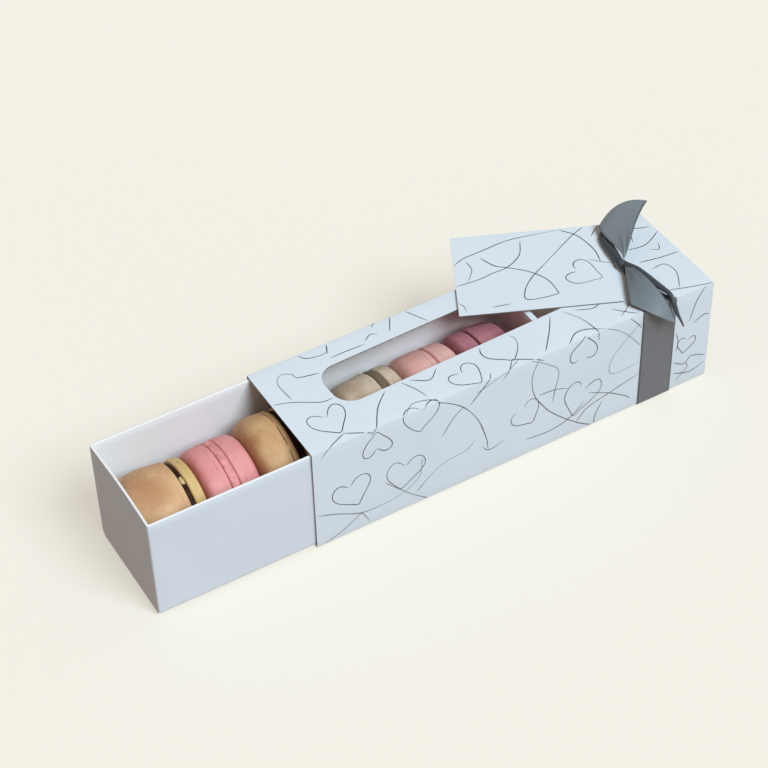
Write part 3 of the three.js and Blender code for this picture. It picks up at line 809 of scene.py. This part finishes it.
def make_crumb():
    """A torn crumb of the first cookie's right shell, whose lighter tan is painted light, that sticks to
    the first cookie's filling.
    """
    left_half, _, right_half, _ = COOKIES[0]
    seam = ROW_START + left_half[1]
    axis = rest_height(left_half[0] + left_half[2], 1)
    reach = right_half[0] * roundness(CRUMB_ANGLE, 1) - CRUMB_SINKS_IN
    aside, above = swung(reach, 0, CRUMB_ANGLE)
    middle = (seam + CRUMB_FROM_SEAM, WIDTH / 2 + aside, axis + above)

    def skin_point(direction):
        out = Vector((direction.x, direction.z, -direction.y))
        rough = 1 + 0.75 * noise.noise(out * 1.5) + 0.45 * noise.noise(out * 3.7)
        return place(*(m + radius * o * rough for m, radius, o in zip(middle, CRUMB_RADII, out)))

    obj = new_object("baked_1_crumb", *ball(12, 20, skin_point), [SHELLS["gold"]])
    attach(obj, TRAY_BODY)


# Ribbon

RIBBON_THICKNESS = 0.3


def surface_area(points):
    """The area in square metres of a grid of points in millimetres."""
    total = 0.0
    for row, following in zip(points, points[1:]):
        for j in range(len(row) - 1):
            a, b, c, d = row[j], row[j + 1], following[j + 1], following[j]
            total += ((b - a).cross(c - a).length + (c - a).cross(d - a).length) / 2
    return total * MM * MM


# The band's course, from the knot down the front, under the sleeve, up its back and over to the
# knot again: distance round the sleeve, middle, half of its width, and lift off the card
BAND_MIDDLE = BAND_START + BAND_WIDTH / 2
BAND_LIFT = 0.33
# How far from the top's edges the band leaves its full width and is gathered
TOP_GATHER = 1.5
BAND_THICKNESS = 0.26
BAND_ARCH = 0.55
BAND_PLEAT = 0.11
GATHERED_TO_FLAT = (2.4, 8.2)
BAND_STEPS = {"fold": 0.16, "gather": 0.5, "flat": 1.2}
BAND_COURSE = [
    (HEIGHT + 27.8, 172.7, 1.9, 1.7),
    (HEIGHT + 22, 173.2, 2.3, 1.45),
    (HEIGHT + 14, 173.8, 2.8, 1.1),
    (HEIGHT + 7, 174.0, 3.6, 0.75),
    (HEIGHT + 3, 173.2, 5.4, 0.55),
    (HEIGHT + 0.8, BAND_MIDDLE, BAND_WIDTH / 2, BAND_LIFT),
    (HEIGHT - 4, BAND_MIDDLE, BAND_WIDTH / 2, BAND_LIFT),
    (0, BAND_MIDDLE, BAND_WIDTH / 2, BAND_LIFT),
    (-WIDTH, BAND_MIDDLE, BAND_WIDTH / 2, BAND_LIFT),
    (-WIDTH - 8, 173.6, 8.5, BAND_LIFT),
    (-WIDTH - 30, 178.4, 6.2, BAND_LIFT),
    (-WIDTH - HEIGHT + 2, 184.9, 3.4, BAND_LIFT),
    (-WIDTH - HEIGHT - 0.8, 184.9, 3.0, 1.0),
    (-WIDTH - HEIGHT - 3.2, 180.6, 2.8, 2.2),
    (-WIDTH - HEIGHT - 7, 177.0, 2.6, 2.6),
    (-WIDTH - HEIGHT - 12.8, 175.3, 2.5, 2.7),
    (-WIDTH - HEIGHT - 19.5, 173.9, 2.2, 2.8),
    (-WIDTH - HEIGHT - 26, 172.6, 1.7, 3.0),
]


def band_at(t):
    """The band's middle, half width and lift at a distance round the sleeve."""
    for before, after in zip(BAND_COURSE, BAND_COURSE[1:]):
        if t >= after[0]:
            share = (before[0] - t) / (before[0] - after[0])
            return [lerp(a, b, share) for a, b in zip(before[1:], after[1:])]
    return BAND_COURSE[-1][1:]


def band_stations():
    """Distances round the sleeve along the band, close together at the folds and in the gathers."""
    stations = []
    folds = (0, HEIGHT, HEIGHT + WIDTH, 2 * HEIGHT + WIDTH, PERIMETER)
    t, end = BAND_COURSE[0][0], BAND_COURSE[-1][0]
    while t > end:
        stations.append(t)
        corner = min(abs((t % PERIMETER) - fold) for fold in folds)
        gathered = t > HEIGHT or t < -WIDTH - HEIGHT
        t -= BAND_STEPS["fold" if corner < 1.3 else "gather" if gathered else "flat"]
    return stations + [end]


def band_grid(columns):
    grid = []
    stations = band_stations()
    smoothing = 5
    for i, t in enumerate(stations):
        around = stations[max(i - smoothing, 0) : i + smoothing + 1]
        shapes = [band_at(other) for other in around]
        middle, half, lift = (sum(values) / len(values) for values in zip(*shapes))
        gather = 1 - smooth(*GATHERED_TO_FLAT, half)
        line = []
        for j in range(columns + 1):
            v = 2 * j / columns - 1
            arch = gather * BAND_ARCH * (1 - v * v)
            pleat = gather * BAND_PLEAT * math.sin(v * 7 + t * 0.12)
            ripple = 0.03 * noise.noise(Vector((v * 2, t * 0.08, 3.3)))
            x = middle + v * half + gather * 0.12 * math.sin(v * 9 + 1.5 + t * 0.1)
            line.append(wall_point(x, t, lift + arch + (pleat + ripple)))
        grid.append(line)
    return grid


def mark_ribbon(obj, grids):
    """Gives each point of a piece made of grids how much it belongs to the ribbon's woven edge, and
    how much painted shade it gets near the knot. Each grid comes with whether it has woven edges and
    starts at the knot."""
    woven, painted_knot_shade = [], []
    for grid, has_edges, from_knot in grids:
        rows, columns = len(grid), len(grid[0])
        across = [abs(2 * j / (columns - 1) - 1) for j in range(columns)]
        woven += [smooth(0.9, 0.99, share) if has_edges else 0.0 for share in across] * (2 * rows)
        for row in list(range(rows)) * 2:
            near = 1 - smooth(0, 0.7, row / (rows - 1)) if from_knot else 0.0
            painted_knot_shade += [near] * columns
    mark(obj, "selvedge", woven)
    mark(obj, "painted_knot_shade", painted_knot_shade)


def make_band():
    """The ribbon round the sleeve, which shows its reverse where it is gathered on top, darkened there as
    painted shade.
    """
    grid = band_grid(columns=48)
    vertices, faces, backs, edges = sheet_parts(grid, BAND_THICKNESS)
    obj = new_object("ribbon_round_sleeve", vertices, faces + backs + edges, [RIBBON, RIBBON_REVERSE_SHADED])
    mark_ribbon(obj, [(grid, True, False)])
    stations = band_stations()
    columns = len(grid[0]) - 1
    # painted shade: the gathered part on top takes the dark reverse colour
    for index in range(len(faces)):
        t = stations[index // columns]
        if t > HEIGHT + TOP_GATHER or t < -WIDTH - HEIGHT - TOP_GATHER:
            obj.data.polygons[index].material_index = 1
            obj.data.polygons[len(faces) + index].material_index = 1
    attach(obj, SLEEVE_BODY)
    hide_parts("ribbon_band")
    area = surface_area(grid)


# The control points of a ribbon end are [x, y, height above the sleeve's top]. Each row runs
# across the ribbon, and the rows go from the knot to the cut end.
FAR_TAIL = [
    [(174.6, 30.6, 3.8), (174.9, 30.4, 4.0), (175.3, 30.3, 4.0)],
    [(177.9, 34.5, 5.0), (179.0, 35.6, 8.0), (180.6, 33.4, 8.0)],
    [(174.0, 50.5, 3.9), (184.2, 47.0, 12.8), (184.5, 38.0, 16.5)],
    [(178.7, 54.6, 4.2), (189.2, 57.0, 15.6), (194.6, 42.1, 20.0)],
]
NEAR_TAIL = [
    [(172.8, 26.6, 3.2), (173.6, 26.4, 3.8), (174.2, 26.2, 3.8)],
    [(169.8, 21.6, 2.8), (173.0, 20.4, 5.6), (175.4, 19.6, 4.4)],
    [(164.6, 13.0, 2.4), (170.6, 7.0, 8.0), (174.6, -2.0, 9.5)],
    [(160.9, 6.2, 2.2), (167.5, -9.0, 2.0), (177.5, -5.8, -8.0)],
]
NEAR_STRAND = {
    "path": [
        (173.6, 27.6, 3.4), (175.4, 21.3, 3.5), (176.4, 14.4, 3.5), (177.3, 8.7, 3.4), (178.3, 4.4, 3.2),
        (178.9, 0.6, 2.6), (178.6, -3.0, -0.8), (179.4, -4.8, -5.2), (181.8, -6.1, -11.6),
    ],
    "widths": [2.6, 3.8, 3.8, 3.2, 2.3, 1.9, 2.0, 1.7, 0.6],
}
KNOT_CENTRE = (172.6, 28.9, 3.3)
KNOT_RADII = (2.4, 2.3, 1.7)
KNOT_PACKING = 0.9
CREASE = 0.2
STRAND_PLEAT = 0.1


def above_sleeve(point):
    return Vector((point[0], point[1], HEIGHT + point[2]))


def bezier(points, share):
    """A point on the curve of any number of control points."""
    points = list(points)
    while len(points) > 1:
        points = [a.lerp(b, share) for a, b in zip(points, points[1:])]
    return points[0]


def grid_of(long_steps, cross_steps, point_at):
    """Rows of points. point_at(u, v) gives the point at those shares of the way along and across."""
    across = [j / cross_steps for j in range(cross_steps + 1)]
    return [[point_at(i / long_steps, v) for v in across] for i in range(long_steps + 1)]


def ribbon_grid(rows, long_steps, cross_steps, seed):
    """Points on a ribbon end, with soft creases that fan out from the knot."""
    control = [[above_sleeve(p) for p in row] for row in rows]

    def point_at(u, v):
        point = bezier([bezier(row, v) for row in control], u)
        crease = CREASE * (1 - u) ** 0.9 * math.sin(v * 15 + seed)
        wave = 0.12 * math.sin(u * 7 + v * 4 + seed)
        point.z += crease * math.sin(math.pi * min(u * 1.6, 1)) + wave
        return point

    return grid_of(long_steps, cross_steps, point_at)


def closed_layers(rows, columns):
    """The face sides, reverse sides and edges of a thin piece, whose points are one grid and then
    another on its reverse."""
    other = rows * columns
    faces, backs = [], []
    for i in range(rows - 1):
        for j in range(columns - 1):
            a = i * columns + j
            b, c, d = a + 1, a + columns + 1, a + columns
            faces.append((a, b, c, d))
            backs.append((other + d, other + c, other + b, other + a))
    rim = list(range(columns))
    rim += [i * columns + columns - 1 for i in range(1, rows)]
    rim += [(rows - 1) * columns + j for j in range(columns - 2, -1, -1)]
    rim += [i * columns for i in range(rows - 2, 0, -1)]
    edges = [(a, other + a, other + b, b) for a, b in zip(rim, rim[1:] + rim[:1])]
    return faces, backs, edges


def sheet_parts(grid, thickness):
    """A closed thin piece on a grid of points in millimetres, as vertices and three lists of faces."""
    rows, columns = len(grid), len(grid[0])
    vertices = []
    for side in (0.5, -0.5):
        for i in range(rows):
            for j in range(columns):
                ahead = grid[min(i + 1, rows - 1)][j] - grid[max(i - 1, 0)][j]
                across = grid[i][min(j + 1, columns - 1)] - grid[i][max(j - 1, 0)]
                normal = across.cross(ahead).normalized()
                vertices.append(place(*(grid[i][j] + normal * side * thickness)))
    return vertices, *closed_layers(rows, columns)


def spline_point(points, share):
    """A point on a smooth curve through all the points."""
    spans = len(points) - 1
    place_on = share * spans
    i = min(int(place_on), spans - 1)
    t = place_on - i
    p1, p2 = points[i], points[i + 1]
    p0 = points[i - 1] if i > 0 else p1 * 2 - p2
    p3 = points[i + 2] if i + 2 <= spans else p2 * 2 - p1
    square = (p0 * 2 - p1 * 5 + p2 * 4 - p3) * t * t
    cube = (p1 * 3 - p0 - p2 * 3 + p3) * t ** 3
    return (p1 * 2 + (p2 - p0) * t + square + cube) * 0.5


def width_at(widths, share):
    place_on = share * (len(widths) - 1)
    i = min(int(place_on), len(widths) - 2)
    return lerp(widths[i], widths[i + 1], place_on - i)


def strand_grid(strand, long_steps, cross_steps, turn):
    """The gathered part of a ribbon end: a narrow strip rolled into a shallow gutter."""
    path = [above_sleeve(p) for p in strand["path"]]

    def point_at(u, v):
        ahead, behind = spline_point(path, min(u + 0.01, 1)), spline_point(path, max(u - 0.01, 0))
        tangent = (ahead - behind).normalized()
        side = tangent.cross(Vector((0, 0, 1))).normalized()
        half = width_at(strand["widths"], u) / 2
        angle = lerp(-turn, turn, v)
        pleat = STRAND_PLEAT * math.sin(v * cross_steps * 1.7 + u * 9)
        aside = side * (half * math.sin(angle)) * 0.9
        return spline_point(path, u) + aside + side.cross(tangent) * (half * 0.7 * math.cos(angle) + pleat)

    return grid_of(long_steps, cross_steps, point_at)


def make_ribbon_ends():
    """The two cut ends that lean away from the knot, the near one with its gathered strand."""
    for name, node, rows, strand, seed in (
        ("ribbon_end_far", "ribbon_tail_far", FAR_TAIL, None, 0.7),
        ("ribbon_end_near", "ribbon_tail_near", NEAR_TAIL, NEAR_STRAND, 2.1),
    ):
        broad = ribbon_grid(rows, long_steps=56, cross_steps=40, seed=seed)
        if rows is NEAR_TAIL:
            broad = [list(reversed(line)) for line in broad]
        grids = [(broad, False)]
        if strand:
            grids.append((strand_grid(strand, long_steps=80, cross_steps=14, turn=2.2), True))
        vertices, faces, reverse = [], [], []
        area = 0.0
        for grid, all_dark_side in grids:
            points, fronts, backs, edges = sheet_parts(grid, RIBBON_THICKNESS)
            area += surface_area(grid)
            base = len(vertices)
            vertices += points
            # the strand and all backs take the dark reverse colour, darkened as painted shade
            for group, dark_face in ((fronts, all_dark_side), (backs, True), (edges, all_dark_side)):
                faces += [tuple(base + index for index in face) for face in group]
                reverse += [dark_face] * len(group)
        face_side = RIBBON_NEAR_PAINTED_SHEEN if rows is NEAR_TAIL else RIBBON_FAR_PAINTED_SHEEN
        obj = new_object(name, vertices, faces, [face_side, RIBBON_REVERSE_SHADED], BENT_EDGE)
        mark_ribbon(obj, [(grid, not all_dark_side, not all_dark_side) for grid, all_dark_side in grids])
        for face, dark_face in zip(obj.data.polygons, reverse):
            face.material_index = int(dark_face)
        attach(obj, SLEEVE_BODY)
        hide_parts(node)


def make_knot():
    """A pulled-tight knot: a rounded lump with the ribbon's pleats running over it."""
    centre = above_sleeve(KNOT_CENTRE)

    def skin_point(direction):
        across = direction.x * 0.35 + direction.y * 0.94
        pleat = 0.07 * math.sin(across * 15 + 1.5 * direction.z)
        wobble = 0.08 * noise.noise(direction * 1.6 + Vector((4, 2, 9)))
        size = KNOT_PACKING + (pleat + wobble if abs(direction.z) < 1 else 0)
        return place(*(c + d * size * radius for c, d, radius in zip(centre, direction, KNOT_RADII)))

    # painted shade: the knot takes the dark reverse colour, which stands partly for the ribbon's reverse
    # and partly for shade
    obj = new_object("ribbon_knot_wrap", *ball(40, 56, skin_point), [RIBBON_REVERSE_SHADED], SOFT_EDGE)
    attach(obj, SLEEVE_BODY)
    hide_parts("ribbon_knot")


# Tag card

TAG_LENGTH = 72
TAG_WIDTH = 52.4
TAG_CARD = 0.5
TAG_SWING = math.radians(-23.9)
TAG_FREE_CORNER = Vector((94.9, 39.1))
TAG_REST = 0.4
TAG_SKEW = 3.2
TAG_LIFT = 0.2


def tag_point(along, across, grow):
    """A point on the tag's upper skin, from its free near corner."""
    lift = TAG_LIFT * min(1 - along / TAG_LENGTH, 1) ** 2
    dx, dy = swung(along, across, TAG_SWING)
    z = HEIGHT + TAG_REST + TAG_CARD + lift + grow
    return place(TAG_FREE_CORNER.x + dx, TAG_FREE_CORNER.y + dy, z)


def make_tag():
    """The printed card, with its free end cut a little out of square."""
    long_steps, cross_steps = 36, 26

    def point_at(u, v, grow):
        across = 1 - v
        return tag_point(lerp(TAG_SKEW * across, TAG_LENGTH, u), TAG_WIDTH * across, grow)

    vertices = []
    for grow in (0, -TAG_CARD):
        for line in grid_of(long_steps, cross_steps, lambda u, v: point_at(u, v, grow)):
            vertices += line
    tops, unders, edges = closed_layers(long_steps + 1, cross_steps + 1)
    obj = new_object("tag_card_face", vertices, tops + unders + edges, [PRINTED, INSIDE, SHADED_CUT_EDGE])
    paint(obj, len(tops), len(unders), len(edges))
    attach(obj, SLEEVE_BODY)
    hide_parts("tag_card")


# Print: hearts and swirls in thin lines, drawn on the unrolled card

LINE_WIDTH = 0.44
LINE_STEP = 0.8
LINE_TIP = 0.45
PEN_UNEVENNESS = 0.35
INK_TOP = 0.03
INK_UNDER = -0.02
# How far the print stays off the card's edges, the ribbon and the window
EDGE_MARGIN = 0.3
BAND_MARGIN = 0.4
WINDOW_MARGIN = 0.6
HEART_ROUNDING = 0.35
HEART_UNEVENNESS = 2
# Each heart is its x, its distance up the face, its width, its turn in degrees, and how far round
# its line starts and ends. Each flow is the points that a smooth line goes through.
FRONT_HEARTS = [
    (30.5, 46, 14, 178),
    (18, 23, 18.5, 14, 0.03, 0.97),
    (43, 21, 18.5, -8, 0.0, 0.98),
    (51.5, 49.5, 17.5, -4, 0.02, 0.97),
    (133, 20, 20, -18, 0.04, 0.93),
    (133.5, 49, 14.5, 172, 0.1, 0.92),
    (105, 24, 15, 30, 0.08, 0.9),
    (189, 24, 9.5, -12, 0.05, 0.95),
]
FRONT_FLOWS = [
    [(0, 19), (10, 15), (21.5, 9.3), (33, 8.6), (43, 10.5), (50.5, 16), (52, 26)],
    [(33.5, 21), (43, 10.7), (48, 5.7), (56, -1), (66, -8)],
    [(59, HEIGHT), (67, 50), (74, 43.5), (80, 33.5), (84, 21), (85, 14)],
    [(82, 16.5), (85.8, 13), (93.5, 15)],
    [(49, 7), (57, 14), (64, 17.5), (74, 19.3), (78.5, 23)],
    [(3, 0), (11.5, 3), (18.5, 7), (22, 8.6), (25.7, 2)],
    [(76, 45), (84, 53), (88, 58)],
    [(79, 50), (86, 52), (95, 55), (103, 59)],
    [(110.5, 54), (107, 45), (108, 35), (112, 27), (118.5, 18), (131, 6), (141, -1)],
    [(105.5, 55.5), (114, 49.5), (120.5, 42.5), (119, 32), (117.8, 25.5)],
    [(110.7, 32.8), (119, 32), (126.5, 29.2)],
    [(105, 9), (118, 8), (128, 11), (135, 17)],
    [(131, 6), (137, 12), (150, 15.7), (164, 19)],
    [(137, 21), (148.5, 15), (157, 9), (160, 6)],
    [(144.5, 12), (141, 4), (141.5, -2)],
    [(143, 56), (151.5, 50.5), (157, 45), (164.5, 35)],
    [(163.5, 50), (156, 43.5), (149, 36), (147.5, 28.5), (151.5, 25.7), (163, 26.3)],
    [(62, 34), (68, 42), (73, 45.5)],
    [(183, 34), (184.5, 28.5), (184, 22)],
    [(190, 38), (193, 48), (198, 56)],
    [(192, 35.5), (198, 38), (201.8, 36.5)],
    [(183.5, 9), (193, 6), (201.8, 9)],
    [(183, 16), (189, 12.5), (193, 15.5), (201.8, 12)],
    [(185, 4), (191, 9.5), (190, 12.5)],
    [(157, 55), (160.5, 51), (163.6, 46.5)],
]
# These are measured from the top's near edge
TOP_HEARTS = [
    (16.5, 13, 17.5, 4, 0.0, 0.96),
    (79, 6, 14.5, 24, 0.02, 0.95),
    (100, 12, 17, 6, 0.2, 0.82),
    (150, 41, 14, -35, 0.03, 0.95),
]
TOP_FLOWS = [
    [(17.5, 4.5), (9, 0.5), (4, -4)],
    [(17.5, 4.5), (25.5, 0), (29, -2)],
    [(9, 33), (8.5, 44), (12, 48.5), (16.5, 46.5), (17.5, 43.5), (27, 41)],
    [(0, 34.5), (8.5, 31.5), (18.5, 25.5), (25, 25)],
    [(44.5, 17), (37, 10), (30.5, 0), (28, -3)],
    [(44.5, 0), (50, 4.3), (57, 3), (60.5, 0)],
    [(53, 17.5), (56, 11.5), (58, 5)],
    [(57, 17), (64, 13), (70, 17.5)],
    [(100, 5.2), (95.5, 0), (92, -4)],
    [(100, 5.2), (108.5, 0), (113, -3)],
    [(128.5, 19), (123, 11.5), (114.5, 1.5)],
    [(135, 19), (139, 11.5), (140.7, 3), (141, -5)],
    [(125.5, 0), (131.5, 4.5), (137, 4.3), (143, 1)],
    [(70, 56), (65, 47.5)],
    [(77, 56), (80, 50), (82.5, 45)],
    [(24, 55), (27, 51.5), (35, 50.5), (38, 55)],
    [(35, 46.7), (43, 46.8), (52, 46.5)],
    [(35.5, 49.5), (37.5, 54.5)],
    [(53, 48), (57, 50.5), (60, 49)],
    [(140, 17), (147, 14), (152, 15)],
    [(154, 9), (158, 4.5), (162.5, 0.5)],
    [(155, 3.5), (159.5, 6), (163.5, 9.5)],
    [(186, 50), (189, 45.5), (187.5, 41)],
    [(191, 33), (194.5, 31), (197, 35)],
    [(184, 21.5), (190.5, 21.5), (192, 14.5), (187, 5)],
    [(181.5, 6.5), (191, 3), (201.8, 0)],
    [(182, 28), (192, 26), (201.8, 25)],
    [(181, 38), (190, 36.5), (197, 39), (201.8, 42)],
    [(190, 56), (193, 49), (200, 46)],
    [(152, 56), (158, 49), (169, 50), (172, 40)],
]
# These are measured from the tag's free near corner
TAG_HEARTS = [
    (59, 20, 17, 62, 0.05, 0.97),
]
TAG_FLOWS = [
    [(0, 19), (11.5, 22.5), (18.5, 26), (25.7, 29.3), (32, 36.5), (34, 46)],
    [(2, 33), (7, 37.5), (15.5, 41.5), (28.5, 47.3), (43, 50), (52.4, 51.3)],
    [(14.5, 37), (20, 31), (25.7, 28.8), (34.5, 25), (41.5, 18.8), (44.5, 11.5), (44, 8.5), (31.5, 6.6),
     (30.5, 11.5), (34.5, 20), (43, 30), (57, 46), (64, 52.2)],
    [(52.4, 51.3), (60, 46), (65.5, 36), (67, 27.3)],
    [(62, 29.5), (67, 27.3), (72, 25.5)],
    [(8, 35), (9.8, 29.5), (7, 21.8)],
    [(0, 9.5), (2.8, 6), (3.6, 2.4)],
    [(15, 3.8), (23.5, 5)],
    [(66, 45), (69, 50), (72, 52)],
]


def heart(x, t, width, turn, start=0.0, end=1.0):
    """A heart drawn by hand, centred on x and t. start and end leave it open."""
    points = []
    seed = Vector((x * 0.7, t * 0.7, 5.5))
    steps = 34
    spin = math.radians(turn)
    for i in range(steps + 1):
        angle = 2 * math.pi * lerp(start, end, i / steps)
        cosine, sine = math.cos(angle), math.sin(angle)
        across = lerp(16 * sine ** 3, 16 * sine, HEART_ROUNDING)
        along = 13 * cosine - 5 * math.cos(2 * angle) - 2 * math.cos(3 * angle) - math.cos(4 * angle)
        across += HEART_UNEVENNESS * noise.noise(seed + Vector((cosine, sine, 0)) * 0.9)
        along += HEART_UNEVENNESS * noise.noise(seed + Vector((sine, cosine, 9)) * 0.9)
        dx, dt = swung(across * width / 32, (along + 2.5) * width / 32, spin)
        points.append((x + dx, t + dt))
    return points


def flow(points):
    """A smooth line through a few points."""
    knots = [Vector((x, t, 0)) for x, t in points]
    steps = 12 * (len(knots) - 1)
    return [tuple(spline_point(knots, i / steps)[:2]) for i in range(steps + 1)]


def artwork(hearts, flows, start=0):
    """The lines of one face, whose distances are measured from start round the card."""
    drawn = [heart(x, start + t, *rest) for x, t, *rest in hearts]
    return drawn + [flow([(x, start + t) for x, t in points]) for points in flows]


def resampled(points, step):
    result = [points[0]]
    left_over = 0.0
    for start, end in zip(points, points[1:]):
        length = math.dist(start, end)
        if length == 0:
            continue
        travelled = step - left_over
        while travelled <= length:
            share = travelled / length
            result.append((lerp(start[0], end[0], share), lerp(start[1], end[1], share)))
            travelled += step
        left_over = length - (travelled - step)
    if math.dist(result[-1], points[-1]) > step / 3:
        result.append(points[-1])
    return result


def line_strips(lines, inside, to_space):
    """Closed thin strips for the printed lines, and how faint they are at each point. inside(x, t)
    says where there is card, and to_space(x, t, lift) gives the point on or above it."""
    vertices, faces, faint = [], [], []
    for number, line in enumerate(lines):
        points = resampled(line, LINE_STEP)
        for on_card, group in itertools.groupby(points, lambda point: inside(*point)):
            run = list(group)
            if not on_card or len(run) < 3:
                continue
            base = len(vertices)
            for i, (x, t) in enumerate(run):
                before, after = run[max(i - 1, 0)], run[min(i + 1, len(run) - 1)]
                dx, dt = after[0] - before[0], after[1] - before[1]
                size = math.hypot(dx, dt) or 1
                taper = lerp(LINE_TIP, 1, smooth(0, 4, min(i, len(run) - 1 - i)))
                pen = 1 + PEN_UNEVENNESS * noise.noise(Vector((x * 0.09, t * 0.09, number * 3.7)))
                half = LINE_WIDTH / 2 * taper * pen
                nx, nt = -dt / size * half, dx / size * half
                for side, lift in ((1, INK_TOP), (-1, INK_TOP), (-1, INK_UNDER), (1, INK_UNDER)):
                    vertices.append(to_space(x + side * nx, t + side * nt, lift))
                pressure = noise.noise(Vector((x * 0.035, t * 0.035, number * 7.1)))
                faint += [smooth(0.0, 0.6, pressure)] * 4
            last = len(vertices) - 4
            faces += ring_faces(len(run), 4, base, flip=True)
            faces += [(base, base + 1, base + 2, base + 3), (last + 3, last + 2, last + 1, last)]
    return vertices, faces, faint


def turned_about_window(x, y, angle):
    """The point turned about the window's middle."""
    middle_x = (WINDOW["start"] + WINDOW["end"]) / 2
    middle_y = (WINDOW["near"] + WINDOW["far"]) / 2
    dx, dy = swung(x - middle_x, y - middle_y, angle)
    return middle_x + dx, middle_y + dy


def in_window(x, y):
    x, y = turned_about_window(x, y, -WINDOW["tilt"])
    corner = WINDOW["corner"] + WINDOW_MARGIN
    left, right = WINDOW["start"] - WINDOW_MARGIN, WINDOW["end"] + WINDOW_MARGIN
    near, far = WINDOW["near"] - WINDOW_MARGIN, WINDOW["far"] + WINDOW_MARGIN
    cx = min(max(x, left + corner), right - corner)
    cy = min(max(y, near + corner), far - corner)
    return left < x < right and near < y < far and math.hypot(x - cx, y - cy) < corner


def on_sleeve(x, t):
    if not EDGE_MARGIN < x < LENGTH - EDGE_MARGIN:
        return False
    t %= PERIMETER
    under_band = BAND_START - BAND_MARGIN < x < BAND_START + BAND_WIDTH + BAND_MARGIN
    if under_band and not HEIGHT + TOP_GATHER < t < HEIGHT + WIDTH - TOP_GATHER:
        return False
    return not (HEIGHT < t < HEIGHT + WIDTH and in_window(x, t - HEIGHT))


def on_tag(x, t):
    free_end = TAG_SKEW * t / TAG_WIDTH
    clear_of_ends = free_end + EDGE_MARGIN < x < TAG_LENGTH - EDGE_MARGIN
    return clear_of_ends and EDGE_MARGIN < t < TAG_WIDTH - EDGE_MARGIN


def make_print():
    """The printed lines. The back and the underside repeat the front and the top, turned half round."""
    front_and_top = artwork(FRONT_HEARTS, FRONT_FLOWS) + artwork(TOP_HEARTS, TOP_FLOWS, HEIGHT)
    back_and_under = [[(LENGTH - x, t + PERIMETER / 2) for x, t in line] for line in front_and_top]
    for name, lines, inside, to_space in (
        ("print_on_sleeve", front_and_top + back_and_under, on_sleeve, skin),
        ("print_on_tag", artwork(TAG_HEARTS, TAG_FLOWS), on_tag, tag_point),
    ):
        vertices, faces, faint = line_strips(lines, inside, to_space)
        obj = new_object(name, vertices, faces, [INK])
        mark(obj, "faint", faint)
        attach(obj, SLEEVE_BODY)


# Camera, lights and floor

CAMERA_AT = (-283.52, -563.69, 694.71)
AZIMUTH, ELEVATION, ROLL = (math.radians(degrees) for degrees in (29.439, 43.624, -1.747))
FILM_WIDTH = 36
LENS = 103.95
NEAREST, FARTHEST = 0.01, 20
KEY_FROM = (0.6, -1.95, 2.45)
KEY_SPREAD = math.radians(32)
KEY_POWER = 3.45
KEY_COLOUR = (0.83, 0.94, 1.0)
ROOM_COLOUR = (1.0, 0.79, 0.66, 1)
ROOM_POWER = 0.36
FLOOR_REACH = 6.0
FLOOR_GLOW = (0.887, 0.85, 0.775, 1)
FLOOR_GLOW_POWER = 0.585


def make_camera():
    """The photograph's view, fitted on the box's corners."""
    forward = Vector((math.sin(AZIMUTH), math.cos(AZIMUTH), 0)) * math.cos(ELEVATION)
    forward.z = -math.sin(ELEVATION)
    level = forward.cross(Vector((0, 0, 1))).normalized()
    above = level.cross(forward)
    right = level * math.cos(ROLL) + above * math.sin(ROLL)
    axes = Matrix((right, right.cross(forward), -forward)).transposed().to_4x4()
    data = bpy.data.cameras.new("camera")
    data.sensor_width = FILM_WIDTH
    data.lens = LENS
    data.clip_start, data.clip_end = NEAREST, FARTHEST
    camera = bpy.data.objects.new("camera", data)
    camera.matrix_world = Matrix.Translation(place(*CAMERA_AT)) @ axes
    bpy.context.scene.collection.objects.link(camera)
    bpy.context.scene.camera = camera


def make_key_lamp():
    """A large far studio lamp."""
    light = bpy.data.lights.new("key", "SUN")
    light.energy = KEY_POWER
    light.angle = KEY_SPREAD
    light.color = KEY_COLOUR
    lamp = bpy.data.objects.new("key", light)
    bpy.context.collection.objects.link(lamp)
    lamp.rotation_euler = Vector(KEY_FROM).to_track_quat("Z", "Y").to_euler()


def make_stage():
    """The warm light of the room, and floor paper that glows a little so that shadows stay pale."""
    world = bpy.data.worlds.new("studio")
    world.use_nodes = True
    background = world.node_tree.nodes["Background"]
    background.inputs["Color"].default_value = ROOM_COLOUR
    background.inputs["Strength"].default_value = ROOM_POWER
    bpy.context.scene.world = world

    corners = [(-1, -1), (1, -1), (1, 1), (-1, 1)]
    vertices = [(x * FLOOR_REACH, y * FLOOR_REACH, 0) for x, y in corners]
    shader = Shader("floor_paper", 0.9)
    cloud = shader.noise(400, detail=1)
    shader.colour(shader.ramp(cloud, [(0.3, (0.34, 0.34, 0.3)), (0.7, (0.345, 0.345, 0.305))]))
    shader.surface_value("Emission Color", FLOOR_GLOW)
    shader.surface_value("Emission Strength", FLOOR_GLOW_POWER)
    floor = new_object("floor", vertices, [(0, 1, 2, 3)], [shader.material])
    floor.visible_diffuse = False
    bpy.context.scene.view_settings.view_transform = "Standard"


make_camera()
make_key_lamp()
make_stage()
make_sleeve()
make_tray()
make_cookies()
make_crumb()
make_band()
make_tag()
make_ribbon_ends()
make_knot()
make_print()

bpy.context.view_layer.update()
